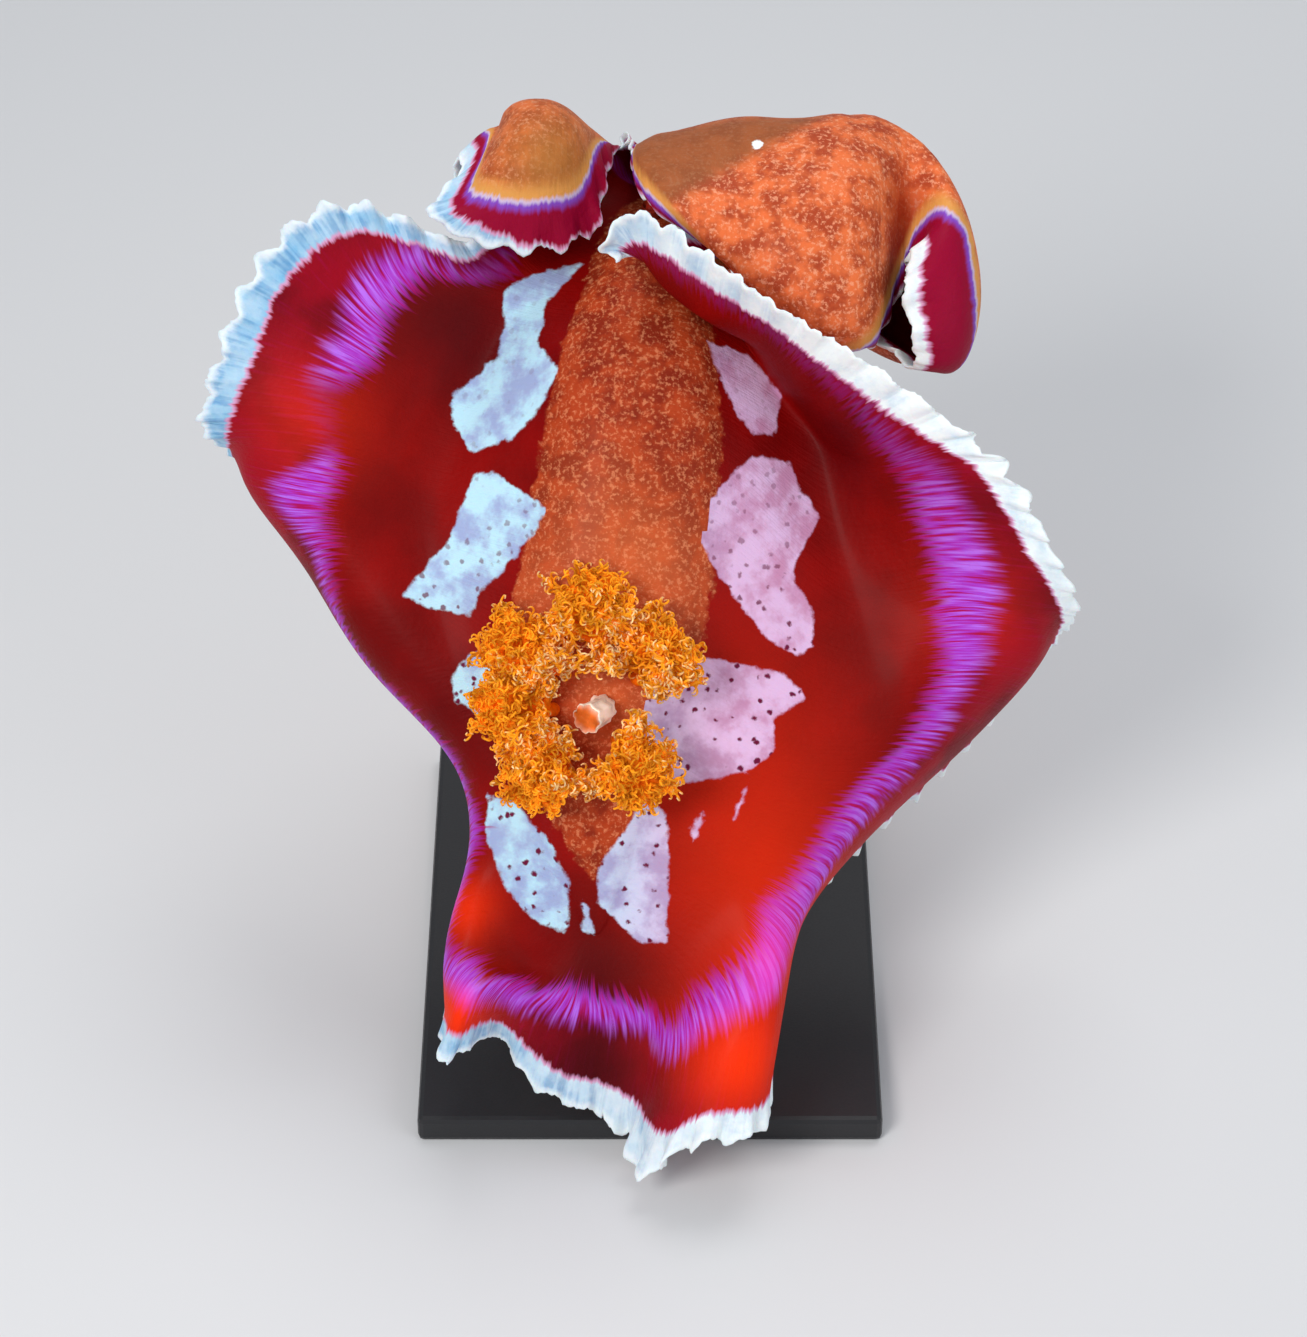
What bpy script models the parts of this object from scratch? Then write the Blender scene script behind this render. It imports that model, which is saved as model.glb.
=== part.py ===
# Spanish dancer nudibranch, swimming, at life size on a plain display stand.
# The animal is drawn in its own frame in millimetres: x to its right, y along the body to the head,
# z out of its back. place() leans that frame back and turns it into metres in the world.

import math
import random

import bpy
import bmesh
import numpy as np

MM = 0.001
GAP = 0.3                        # between nodes that touch, in mm
BEND_ROOM = 0.15                 # added where the surfaces that meet are curved

# How the animal is carried
LEAN_DEG = 40.0                  # the back faces this far above level
CARRY = (-15.0, -28.0, 110.0)    # the gill centre, from the middle of the base's underside

# Stand, in mm
BASE_LENGTH = 150.0
BASE_WIDTH = 120.0
BASE_THICK = 8.0
BASE_EDGE = 1.5
ROD_RADIUS = 3.5
ROD_SIDES = 16
ROD_SITES = {"stand_rod_rear": 0.30, "stand_rod_front": 0.56}
ROD_PLAY = 0.1                   # added between a rod's slanted top and the sole

# Body, in mm: the middle line through the back, tail to head, and the half width along it
SPINE = [(1, -59, -9), (1, -32, -3), (1, 0, 1), (6, 28, 3), (10, 55, 4), (12, 80, 2), (14, 100, -7),
         (17, 117, -22), (25, 130, -40)]
HALF_WIDTHS = [14, 18, 22, 23, 22, 21, 19, 17, 15]
RING_STEP_DEG = 5
WALL_TOP = 1.35                  # the side wall that the mantle meets
WALL_BOTTOM = -1.7
HUMP = 0.42                      # rise of the back, as a share of the half width
BELLY = 0.40                     # depth of the belly, as a share of the half width
BELLY_WIDTH = 0.62
BACK_STEPS = 10
TORSO_SPLIT = 100                # ring stations in degrees, tail 0 to head 180
FOOT_RANGE = (20, 140)
FOOT_SPLIT = 85
FOOT_THICK = 5.0
FOOT_WIDTH = 0.56
FOOT_PROFILE = [(0.8, 0), (1.0, -0.55), (0.92, -0.9), (0.6, -1),
                (-0.6, -1), (-0.92, -0.9), (-1.0, -0.55), (-0.8, 0)]

# Head and the lobes beside the mouth, in mm
HEAD_STATION = 0.945             # share of the spine at the head's middle
HEAD_SIZE = (9.0, 10.0, 6.0)     # half width, half length, half depth
HEAD_MIDDLE = -6.5               # depth of its middle below the spine
MOUTH_PLACE = (6.8, -10.6)       # forward of the head's middle, and depth
MOUTH_FACING = (0.75, -0.66)     # forward and dorsal parts of the way it opens
LIP_RING = 2.9
LIP_THICK = 1.1
LIP_SHAPE = (1.25, 0.85)         # how far the ring is stretched across and along
LOBE_ROOT = (1.5, 1.0, -7.0)     # inside the head's side, forward and depth
LOBE_RINGS = [(0, 4.0, 2.6), (4, 4.6, 2.4), (8, 6.0, 2.0), (11.5, 6.6, 1.6), (13.5, 6.0, 1.1)]
LOBE_FINGERS = 5
FINGER_LENGTH = 10.5
FINGER_RADII = [1.5, 1.5, 1.25, 1.0, 0.5]

# Mantle, in mm
ROOT_THICK = 2.4
RIM_THICK = 0.9
THINNEST = 0.5
FOLD_SHARE = 0.3                 # of the radius of a fold, the most that half the thickness may be
THIN_SPREAD = 1.3                # the most that the thickness grows from one column to the next
SMOOTHING = 4
ROWS = [0, 0.08, 0.18, 0.29, 0.41, 0.53, 0.65, 0.77, 0.87, 0.94, 1.0]
FRILL_ROWS = 2                   # the outer rows, which have twice the stations
STATION_LENGTH = 9.0
FRILL_HEIGHT = 1.7
FRILL_SHARE = 0.34               # most height of a ruffle, as a share of its spacing
FRILL_REACH = 0.4                # and as a share of the outermost row's width
FRILL_CALM = 1.3                 # bends turning more than this have no ruffles
RIB_ENTRY = 6.0                  # how far inside the body a rib's curve sets off
ROOT_EASE = 0.2                  # share of a rib over which it is drawn to the body's side

# Each rib of the mantle: its name, its station round the body in degrees (tail 0, right side 90,
# head 180, left side 270) and its bends from the body out to the rim.
RIBS = [
    ("tail_mid", 2, (2, -72, -10), (5, -85, -18), (3, -107, -26)),
    ("tail_fold", 8, (12, -73, -10), (15, -86, -17), (10, -111, -24)),
    ("tail_tongue", 12, (19, -73, -8), (20, -87, -8), (12, -122, -14)),
    ("tail_right", 20, (26, -69, -5), (33, -85, 2), (27, -110, 1)),
    ("tail_right_corner", 32, (34, -55, -3), (44, -71, 3), (42, -110, -3)),
    ("right_rear_1", 45, (35, -40, -2), (53, -48, -7), (54, -55, -20), (46, -68, -46)),
    ("right_rear_2", 60, (45, -23, -2), (68, -26, -6), (71, -33, -20), (65, -42, -48)),
    ("right_rear_3", 75, (55, -5, -2), (88, -4, -4), (99, -6, -18), (93, -16, -46)),
    ("right_low", 88, (63, 13, -4), (92, 15, 2), (113, 14, -4), (117, 13, -30)),
    ("right_tip", 96, (65, 25, -4), (90, 27, 4), (109, 25, 6), (123, 24, -4)),
    ("right_mid", 102, (63, 40, -6), (83, 42, 6), (101, 42, 12), (114, 38, 10)),
    ("right_upper", 108, (58, 58, -8), (75, 56, 6), (91, 58, 16), (103, 57, 18)),
    ("right_top", 113, (53, 71, -10), (66, 62, 2), (77, 67, 16), (85, 71, 22)),
    ("flap_1", 119, (43, 85, -8), (50, 79, 2), (56, 81, 14), (63, 86, 24)),
    ("flap_2", 127, (38, 93, -8), (42, 89, 3), (43, 93, 16), (43, 98, 26)),
    ("flap_3", 134, (35, 100, -7), (31, 94, 4), (25, 97, 11), (24, 105, 20), (26, 111, 27)),
    ("flap_4", 141, (33, 108, -9), (27, 103, 5), (16, 105, 12), (11, 114, 20), (9, 121, 27)),
    ("flap_curl", 147, (36, 113, -14), (31, 106, 2), (17, 107, 12), (6, 110, 17), (2, 107, 21)),
    ("flap_back", 151, (39, 115, -15), (36, 109, -3), (29, 112, 2), (24, 119, 2)),
    ("flap_end", 155, (41, 117, -22), (45, 113, -14)),
    ("notch_right", 159, (42, 116, -31), (52, 110, -23)),
    ("cup_low", 163, (46, 110, -41), (66, 96, -41), (86, 84, -30), (95, 81, -14), (92, 80, -3), (83, 82, 3)),
    ("cup_mid", 166, (54, 113, -43), (84, 105, -36), (99, 101, -18), (98, 99, -2), (89, 96, 5), (79, 94, 5)),
    ("cup_high", 169, (54, 122, -44), (85, 120, -34), (97, 117, -16), (95, 112, -1), (86, 108, 5),
     (76, 106, 4)),
    ("hood_right", 173, (54, 138, -42), (84, 142, -18), (91, 130, -3), (88, 120, 3), (82, 113, 2)),
    ("hood_hollow", 176, (49, 143, -40), (76, 148, -18), (80, 132, -12), (80, 118, -14), (79, 105, -16)),
    ("hood_ridge", 180, (44, 143, -40), (64, 148, -14), (67, 124, 10), (68, 101, 11), (69, 87, 6),
     (68, 86, -4)),
    ("hood_front", 184, (36, 143, -40), (53, 146, -14), (52, 124, 12), (57, 99, 12), (62, 86, 5),
     (60, 92, -8)),
    ("hood_left", 188, (31, 143, -40), (40, 148, -18), (37, 127, 6), (41, 106, 10), (46, 97, 4),
     (45, 103, -7)),
    ("hood_far", 192, (24, 141, -38), (25, 145, -20), (22, 130, 7), (27, 117, 13), (32, 110, 10),
     (34, 113, 2)),
    ("hood_corner", 195, (21, 140, -38), (18, 144, -21), (13, 134, 3), (14, 125, 8), (17, 120, 7)),
    ("hood_end", 199, (17, 139, -39), (13, 142, -29), (10, 141, -18)),
    ("notch_left", 203, (13, 137, -40), (9, 145, -34)),
    ("scroll_right", 207, (5, 134, -31), (2, 143, -20), (1, 139, -6), (3, 130, -4)),
    ("scroll_mid", 212, (0, 131, -29), (-4, 147, -16), (-3, 140, 8), (-2, 127, 8), (2, 116, 1)),
    ("scroll_knob", 217, (-6, 129, -26), (-9, 151, -8), (-8, 138, 16), (-9, 124, 14), (-8, 112, 5)),
    ("scroll_front", 222, (-11, 127, -24), (-17, 150, -6), (-18, 138, 16), (-22, 123, 14), (-25, 112, 8)),
    ("scroll_tongue", 225, (-14, 124, -22), (-21, 147, -10), (-25, 134, 10), (-33, 123, 10), (-43, 122, 8)),
    ("scroll_notch", 228, (-15, 122, -21), (-22, 146, -12), (-24, 140, 1), (-29, 132, 4)),
    ("scroll_back", 231, (-16, 118, -20), (-24, 143, -16), (-29, 146, -6), (-35, 141, 1)),
    ("scroll_rear", 234, (-16, 112, -16), (-23, 128, -18), (-29, 131, -12), (-34, 130, -6)),
    ("left_start", 237, (-17, 105, -12), (-24, 109, -10), (-28, 113, -6)),
    ("left_top", 242, (-20, 99, -12), (-40, 105, -4), (-47, 121, 0)),
    ("left_upper", 248, (-25, 88, -12), (-50, 98, 0), (-64, 124, 8)),
    ("left_lobe", 254, (-33, 76, -12), (-57, 90, 2), (-83, 108, 10)),
    ("left_mid", 260, (-38, 68, -10), (-62, 80, 4), (-91, 89, 8)),
    ("left_tip", 266, (-40, 60, -8), (-67, 67, 4), (-98, 68, 0)),
    ("left_low", 273, (-43, 48, -6), (-68, 52, 0), (-87, 57, -8), (-91, 64, -30)),
    ("left_rear_1", 284, (-40, 33, -4), (-64, 38, -2), (-73, 35, -18), (-69, 34, -44)),
    ("left_rear_2", 298, (-33, 13, -2), (-53, 13, -4), (-58, 10, -20), (-50, 5, -46)),
    ("left_rear_3", 314, (-21, -13, -2), (-29, -16, -6), (-33, -18, -18), (-24, -24, -42)),
    ("left_rear_4", 328, (-17, -38, -5), (-26, -35, -6), (-30, -38, -16), (-27, -50, -40)),
    ("tail_left", 338, (-18, -58, -8), (-32, -59, -2), (-37, -67, -10), (-35, -77, -30)),
    ("tail_left_corner", 344, (-18, -66, -8), (-29, -72, 4), (-36, -91, 2)),
    ("tail_notch", 349, (-12, -70, -10), (-19, -73, -4), (-22, -84, -24)),
    ("tail_mid_left", 355, (-6, -72, -10), (-12, -80, -14), (-19, -97, -22)),
]

# The mantle's nodes, each from one rib to another
MANTLE_NODES = {
    "mantle_right_rear": ("tail_right_corner", "right_low"),
    "mantle_right_lobe": ("right_low", "flap_1"),
    "mantle_right_flap": ("flap_1", "notch_right"),
    "mantle_front_cup": ("notch_right", "hood_right"),
    "mantle_front_hood": ("hood_right", "notch_left"),
    "mantle_front_scroll": ("notch_left", "left_start"),
    "mantle_left_lobe": ("left_start", "left_low"),
    "mantle_left_rear": ("left_low", "tail_left"),
    "mantle_tail": ("tail_left", "tail_right_corner"),
}

# The nodes whose folds may touch
FOLDED_NODES = ("mantle_right_flap", "mantle_front_hood")

# Gills, in mm: where each of the six grows and where the middle of its plume is
GILL_SITES = [
    ((-6, 7), (-20, 14, 19)),
    ((3, 12), (0, 25, 22)),
    ((12, 8), (19, 13, 18)),
    ((-9, -2), (-21, -2, 21)),
    ((-5, -11), (-13, -20, 18)),
    ((7, -9), (12, -18, 22)),
]
TRUNK_RADII = [(0, 2.6), (0.2, 2.0), (0.6, 1.8), (1, 1.5)]    # at shares of the trunk
TRUNK_RISE = 3.5                 # how far the trunk stands up before it leans to the plume
GILL_BRANCHES = 4
BRANCH_LENGTH = 8.5
BRANCH_RADIUS = 1.3
BRANCH_TAPER = [1.1, 1.0, 0.85, 0.5]
BRANCH_FILAMENTS = 3
FILAMENT_LENGTH = 6.5
FILAMENT_RADIUS = 1.0
FILAMENT_TAPER = [1.0, 1.0, 0.8, 0.45]
GILL_ROOM = 1.2                  # of a tube's radius, kept from the planes between gills

# Anal papilla and rhinophores, in mm
PAPILLA_SITE = (3, -1)
PAPILLA_LEAN = (-0.75, -0.35, 1.0)
PAPILLA_RISE = (4.0, 6.0, 6.0)   # up to the first bend, up to the second, then along the lean
PAPILLA_RADII = [3.8, 3.4, 3.2, 3.2, 3.4, 3.7, 3.9, 2.4, 1.4]
PAPILLA_LIP = (0.4, -3.0)        # the rolled lip's reach, then the depth of the opening
PAPILLA_SIDES = 10
RHINOPHORE_SITES = {"rhinophore_left": -4.5, "rhinophore_right": 4.5}
RHINOPHORE_STATION = 0.90
RHINOPHORE_SHEATH = [(2.4, 0), (2.6, 1.6), (1.5, 1.9), (1.3, 3.0)]    # radius and height
RHINOPHORE_PLATES = 5
PLATE_FIRST = 3.6
PLATE_STEP = 1.15
PLATE_RADIUS = 2.1
PLATE_SHRINK = 0.25
PLATE_WAIST = 0.72
PLATE_THICK = 0.75
RHINOPHORE_TIP = (0.5, 10.2)

COLOURS = {
    "back": (0.62, 0.20, 0.07, 1),
    "mantle": (0.45, 0.01, 0.02, 1),
    "foot": (0.75, 0.28, 0.12, 1),
    "gill": (0.85, 0.30, 0.04, 1),
    "pale": (0.85, 0.62, 0.45, 1),
    "stand": (0.05, 0.05, 0.055, 1),
    "rod": (0.55, 0.55, 0.56, 1),
}


def clear_scene():
    for thing in list(bpy.data.objects):
        bpy.data.objects.remove(thing)


def make_collection(name):
    group = bpy.data.collections.new(name)
    bpy.context.scene.collection.children.link(group)
    return group


def make_material(name, metallic=0.0, roughness=0.35):
    material = bpy.data.materials.new(name)
    material.use_nodes = True
    shader = material.node_tree.nodes["Principled BSDF"]
    shader.inputs["Base Color"].default_value = COLOURS[name]
    shader.inputs["Metallic"].default_value = metallic
    shader.inputs["Roughness"].default_value = roughness
    return material


def place(points):
    """Turn points of the animal's frame in mm into world metres."""
    p = np.asarray(points, float)
    lean = math.radians(LEAN_DEG)
    x = p[..., 0] + CARRY[0]
    y = p[..., 1] * math.sin(lean) - p[..., 2] * math.cos(lean) + CARRY[1]
    z = p[..., 1] * math.cos(lean) + p[..., 2] * math.sin(lean) + CARRY[2]
    return np.stack([x, y, z], axis=-1) * MM


def unit(vectors):
    return vectors / np.maximum(np.linalg.norm(vectors, axis=-1, keepdims=True), 1e-9)


def flow(knots, t, closed=False):
    """A smooth curve through the knots, at knot numbers t that may be fractions."""
    knots = np.asarray(knots, float)
    t = np.asarray(t, float)
    count = len(knots)
    if closed:
        first = np.floor(t).astype(int)
        share = (t - first)[:, None]
        p0, p1, p2, p3 = [knots[(first + k) % count] for k in (-1, 0, 1, 2)]
    else:
        first = np.clip(np.floor(t).astype(int), 0, count - 2)
        share = (t - first)[:, None]
        ends = np.vstack([2 * knots[0] - knots[1], knots, 2 * knots[-1] - knots[-2]])
        p0, p1, p2, p3 = [ends[first + k] for k in range(4)]

    def span(a, b):
        return np.maximum(np.sqrt(np.linalg.norm(b - a, axis=-1, keepdims=True)), 1e-6)

    d1, d2, d3 = span(p0, p1), span(p1, p2), span(p2, p3)
    m1 = d2 * ((p1 - p0) / d1 - (p2 - p0) / (d1 + d2) + (p2 - p1) / d2)
    m2 = d2 * ((p2 - p1) / d2 - (p3 - p1) / (d2 + d3) + (p3 - p2) / d3)
    s2 = share * share
    s3 = s2 * share
    return (2 * s3 - 3 * s2 + 1) * p1 + (s3 - 2 * s2 + share) * m1 + (3 * s2 - 2 * s3) * p2 + (s3 - s2) * m2


def even(points, shares):
    """Points at the given shares of a polyline's length."""
    steps = np.linalg.norm(np.diff(points, axis=0), axis=1)
    run = np.concatenate([[0], np.cumsum(steps)])
    return np.stack([np.interp(np.asarray(shares) * run[-1], run, points[:, k]) for k in range(3)], axis=-1)


SPINE_LINE = even(flow(SPINE, np.linspace(0, len(SPINE) - 1, 400)), np.linspace(0, 1, 401))
SPINE_LENGTH = float(np.linalg.norm(np.diff(SPINE_LINE, axis=0), axis=1).sum())


def spine_frame(share):
    """Point on the spine with the forward, right and back (dorsal) directions there."""
    shares = np.linspace(0, 1, len(SPINE_LINE))

    def point(s):
        return np.array([np.interp(s, shares, SPINE_LINE[:, k]) for k in range(3)])

    step = 0.01
    forward = unit(point(min(share + step, 1)) - point(max(share - step, 0)))
    back = unit(np.array([0, 0, 1.0]) - forward[2] * forward)
    return point(share), forward, np.cross(forward, back), back


def half_width(share):
    return float(np.interp(share, np.linspace(0, 1, len(HALF_WIDTHS)), HALF_WIDTHS))


def station_share(degrees):
    return 0.5 - 0.5 * math.cos(math.radians(degrees))


def side_width(degrees):
    """How far the body's side lies from the spine, signed, at a station round the body."""
    return math.sin(math.radians(degrees)) * half_width(station_share(degrees))


def belly_depth(degrees):
    return -WALL_BOTTOM + BELLY * abs(side_width(degrees))


def side_point(degrees):
    centre, _, right, _ = spine_frame(station_share(degrees))
    return centre + right * side_width(degrees)


def root_frames(stations):
    """Root points of the mantle on the body's faceted side, with the outward and back directions."""
    corners = np.arange(0, 361, RING_STEP_DEG)
    line = np.array([side_point(d) for d in corners])
    backs = np.array([spine_frame(station_share(d))[3] for d in corners])
    point = np.stack([np.interp(stations, corners, line[:, k]) for k in range(3)], axis=-1)
    back = unit(np.stack([np.interp(stations, corners, backs[:, k]) for k in range(3)], axis=-1))
    smooth = np.array([side_point(d + 1.5) - side_point(d - 1.5) for d in stations])
    out = unit(np.cross(smooth, back))
    return point + out * (GAP + BEND_ROOM / 3), out, back


def mesh_object(name, verts, faces, material, group):
    """A closed object from points in the animal's frame."""
    mesh = bpy.data.meshes.new(name)
    mesh.from_pydata([tuple(v) for v in place(verts)], [], faces)
    return finish_object(name, mesh, material, group)


def finish_object(name, mesh, material, group):
    shape = bmesh.new()
    shape.from_mesh(mesh)
    bmesh.ops.remove_doubles(shape, verts=shape.verts, dist=1e-6)
    bmesh.ops.dissolve_degenerate(shape, edges=shape.edges, dist=1e-6)
    bmesh.ops.triangulate(shape, faces=shape.faces)
    bmesh.ops.recalc_face_normals(shape, faces=shape.faces)
    shape.to_mesh(mesh)
    shape.free()
    mesh.materials.append(material)
    mesh.shade_smooth()
    mesh.set_sharp_from_angle(angle=math.radians(50))
    thing = bpy.data.objects.new(name, mesh)
    group.objects.link(thing)
    return thing


def keep_largest(thing):
    """Keep only the largest closed surface of a node."""
    shape = bmesh.new()
    shape.from_mesh(thing.data)
    left = set(shape.verts)
    islands = []
    while left:
        stack = [left.pop()]
        island = list(stack)
        while stack:
            for edge in stack.pop().link_edges:
                for vert in edge.verts:
                    if vert in left:
                        left.remove(vert)
                        stack.append(vert)
                        island.append(vert)
        islands.append(island)
    islands.sort(key=len)
    for island in islands[:-1]:
        bmesh.ops.delete(shape, geom=island, context="VERTS")
    shape.to_mesh(thing.data)
    shape.free()


def joined(name, pieces, material, group, solver="EXACT"):
    """Fuse closed objects into one node and drop the pieces."""
    base = pieces[0]
    extras = bpy.data.collections.new(name + "_pieces")
    for piece in pieces[1:]:
        extras.objects.link(piece)
    union = base.modifiers.new("union", "BOOLEAN")
    union.operand_type = "COLLECTION"
    union.collection = extras
    union.operation = "UNION"
    union.solver = solver
    return applied(name, base, pieces, extras, material, group)


def applied(name, base, spent, extras, material, group):
    """Bake an object's modifiers into a new node and remove what made it."""
    graph = bpy.context.evaluated_depsgraph_get()
    mesh = bpy.data.meshes.new_from_object(base.evaluated_get(graph))
    mesh.transform(base.matrix_world)
    mesh.materials.clear()
    for piece in spent:
        bpy.data.objects.remove(piece)
    if extras:
        bpy.data.collections.remove(extras)
    thing = finish_object(name, mesh, material, group)
    keep_largest(thing)
    return thing


def loft(rings, name, material, group):
    """Close a row of rings with the same number of points into one body."""
    count = len(rings[0])
    verts = [point for ring in rings for point in ring]
    faces = []
    for r in range(len(rings) - 1):
        for k in range(count):
            n = (k + 1) % count
            faces.append((r * count + k, r * count + n, (r + 1) * count + n, (r + 1) * count + k))
    faces.append(tuple(range(count)))
    faces.append(tuple(range((len(rings) - 1) * count, len(rings) * count)))
    return mesh_object(name, verts, faces, material, group)


def tube(path, radii, sides, name, material, group, ahead=None):
    """A tapering limb along a path, its rings square to the directions ahead."""
    path = np.asarray(path, float)
    if ahead is None:
        ahead = unit(np.gradient(path, axis=0))
    side = unit(np.cross(ahead[0], (0.31, 0.52, 0.79)))
    rings = []
    for point, direction, radius in zip(path, ahead, radii):
        side = unit(side - direction * (side @ direction))
        across = np.cross(direction, side)
        turns = np.arange(sides) * 2 * math.pi / sides
        rings.append([point + radius * (math.cos(a) * side + math.sin(a) * across) for a in turns])
    return loft(rings, name, material, group)


# Torso, foot and head

def torso_ring(degrees, shift=0.0):
    centre, forward, right, back = spine_frame(station_share(degrees))
    wide = side_width(degrees)
    ring = []
    for k in range(BACK_STEPS + 1):
        turn = math.pi * k / BACK_STEPS
        ring.append((wide * math.cos(turn), WALL_TOP + HUMP * wide * math.sin(turn)))
    ring += [(-wide, WALL_BOTTOM), (-BELLY_WIDTH * wide, -belly_depth(degrees))]
    ring += [(BELLY_WIDTH * wide, -belly_depth(degrees)), (wide, WALL_BOTTOM)]
    return [centre + forward * shift + right * x + back * z for x, z in ring]


def torso(name, first, last, material, group):
    rings = []
    for degrees in range(first, last + 1, RING_STEP_DEG):
        shift = 0.0
        if degrees == TORSO_SPLIT:
            shift = GAP / 2 if degrees == first else -GAP / 2
        rings.append(torso_ring(degrees, shift))
    return loft(rings, name, material, group)


def foot_ring(degrees, shift=0.0):
    centre, forward, right, back = spine_frame(station_share(degrees))
    first, last = FOOT_RANGE
    along = (degrees - first) / (last - first)
    taper = math.sqrt(max(math.sin(math.pi * along), 0.06))
    wide = FOOT_WIDTH * abs(side_width(degrees)) * taper
    top = -belly_depth(degrees) - GAP - BEND_ROOM
    thick = FOOT_THICK * (0.5 + 0.5 * taper)
    return [centre + forward * shift + right * wide * x + back * (top + thick * z) for x, z in FOOT_PROFILE]


def foot(name, first, last, material, group):
    rings = []
    for degrees in range(first, last + 1, RING_STEP_DEG):
        shift = 0.0
        if degrees == FOOT_SPLIT:
            shift = GAP / 2 if degrees == first else -GAP / 2
        rings.append(foot_ring(degrees, shift))
    return loft(rings, name, material, group)


def under_front(x, y, z, lift=0.0):
    """A point under the front of the body: x right, y forward of the head's middle, z dorsal."""
    share = HEAD_STATION + y / SPINE_LENGTH
    centre, forward, right, back = spine_frame(min(share, 1.0))
    beyond = max(share - 1.0, 0.0) * SPINE_LENGTH
    degrees = math.degrees(math.acos(1 - 2 * min(share, 1.0)))
    height = min(z, -belly_depth(degrees) - GAP - BEND_ROOM + lift)
    return centre + forward * beyond + right * x + back * height


def head_shape(name, grow, material, group, sides=18, rings=12):
    """The head's rounded block, its upper face laid along the belly."""
    shape = bmesh.new()
    bmesh.ops.create_uvsphere(shape, u_segments=sides, v_segments=rings, radius=1.0)
    wide, long, deep = [size + grow for size in HEAD_SIZE]
    verts = []
    for vert in shape.verts:
        x, y, z = vert.co
        verts.append(under_front(x * wide, z * long, HEAD_MIDDLE + y * deep, 3 * grow))
    faces = [tuple(v.index for v in face.verts) for face in shape.faces]
    shape.free()
    return mesh_object(name, verts, faces, material, group)


def mouth_frame():
    """Where the mouth opens, and its directions: across, along the slit and out."""
    _, forward, right, back = spine_frame(1.0)
    out = unit(forward * MOUTH_FACING[0] + back * MOUTH_FACING[1])
    point = under_front(0, *MOUTH_PLACE)
    return point, right, unit(np.cross(out, right)), out


def head(material, group, sides=16, ring_sides=6):
    """The head's block with a ring of flesh round the mouth."""
    block = head_shape("head_block", 0.0, material, group)
    point, across, along, out = mouth_frame()
    verts = []
    faces = []
    for k in range(sides):
        turn = 2 * math.pi * k / sides
        direction = across * math.cos(turn) * LIP_SHAPE[0] + along * math.sin(turn) * LIP_SHAPE[1]
        for j in range(ring_sides):
            roll = 2 * math.pi * j / ring_sides
            reach = LIP_RING + LIP_THICK * math.cos(roll)
            verts.append(point + direction * reach + out * LIP_THICK * math.sin(roll))
            n = (k + 1) % sides
            m = (j + 1) % ring_sides
            faces.append((k * ring_sides + j, n * ring_sides + j, n * ring_sides + m, k * ring_sides + m))
    lips = mesh_object("head_lips", verts, faces, material, group)
    return joined("head", [block, lips], material, group, "MANIFOLD")


# Mantle

def rib_curves():
    """Every rib as evenly spaced points at the rows' shares of its length."""
    stations = np.array([rib[1] for rib in RIBS], float)
    roots, outs, _ = root_frames(stations)
    curves = []
    for rib, root, out in zip(RIBS, roots, outs):
        knots = [root - out * RIB_ENTRY, root] + [np.array(knot, float) for knot in rib[2:]]
        line = flow(knots, np.linspace(1, len(knots) - 1, 120))
        curves.append(even(line, ROWS))
    return stations, np.array(curves)


def mantle_columns():
    """Where the columns lie, as rib numbers with fractions, evenly along the rim between ribs."""
    _, curves = rib_curves()
    columns = []
    for k in range(len(RIBS)):
        ends = (curves[(k + 1) % len(RIBS), -1], curves[k, -1])
        count = max(1, round(float(np.linalg.norm(ends[0] - ends[1])) / STATION_LENGTH))
        columns += [k + part / (2 * count) for part in range(2 * count)]
    return np.array(columns)


def mantle_surface(columns):
    """The mantle's middle surface, its normals and half thickness, one row of points a column."""
    stations, curves = rib_curves()
    grid = np.stack([flow(curves[:, row], columns, closed=True) for row in range(len(ROWS))], axis=1)
    for _ in range(SMOOTHING):
        grid = 0.5 * grid + 0.25 * (np.roll(grid, 1, axis=0) + np.roll(grid, -1, axis=0))
    round_trip = np.append(stations, stations[0] + 360)
    degrees = np.interp(columns, np.arange(len(RIBS) + 1), round_trip) % 360
    roots, _, backs = root_frames(degrees)
    ease = np.clip(1 - np.array(ROWS) / ROOT_EASE, 0, 1)[None, :, None]
    grid += (roots - grid[:, 0])[:, None, :] * ease
    normals = surface_normals(grid)
    normals[:, 0] = backs
    half = 0.5 * np.interp(ROWS, [0, 0.5, 1], [ROOT_THICK, 0.62 * ROOT_THICK, RIM_THICK])
    return grid, normals, np.minimum(half, bend_limit(grid, normals))


def bend_limit(grid, normals):
    """The greatest half thickness that a point's tightest bend leaves room for."""
    limit = np.full(grid.shape[:2], ROOT_THICK)
    for axis, step in ((0, 1), (0, -1), (0, 2), (0, -2), (1, 1), (1, -1)):
        reach = np.linalg.norm(np.roll(grid, step, axis=axis) - grid, axis=2)
        turn = np.linalg.norm(np.roll(normals, step, axis=axis) - normals, axis=2)
        room = FOLD_SHARE * reach / np.maximum(turn, 1e-3)
        if axis == 1:
            room[:, 0 if step == 1 else -1] = ROOT_THICK
        limit = np.minimum(limit, room)
    limit = np.maximum(limit, THINNEST / 2)
    for step in (-2, -1, 1, 2):
        limit = np.minimum(limit, THIN_SPREAD * np.roll(limit, step, axis=0))
    return limit


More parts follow.
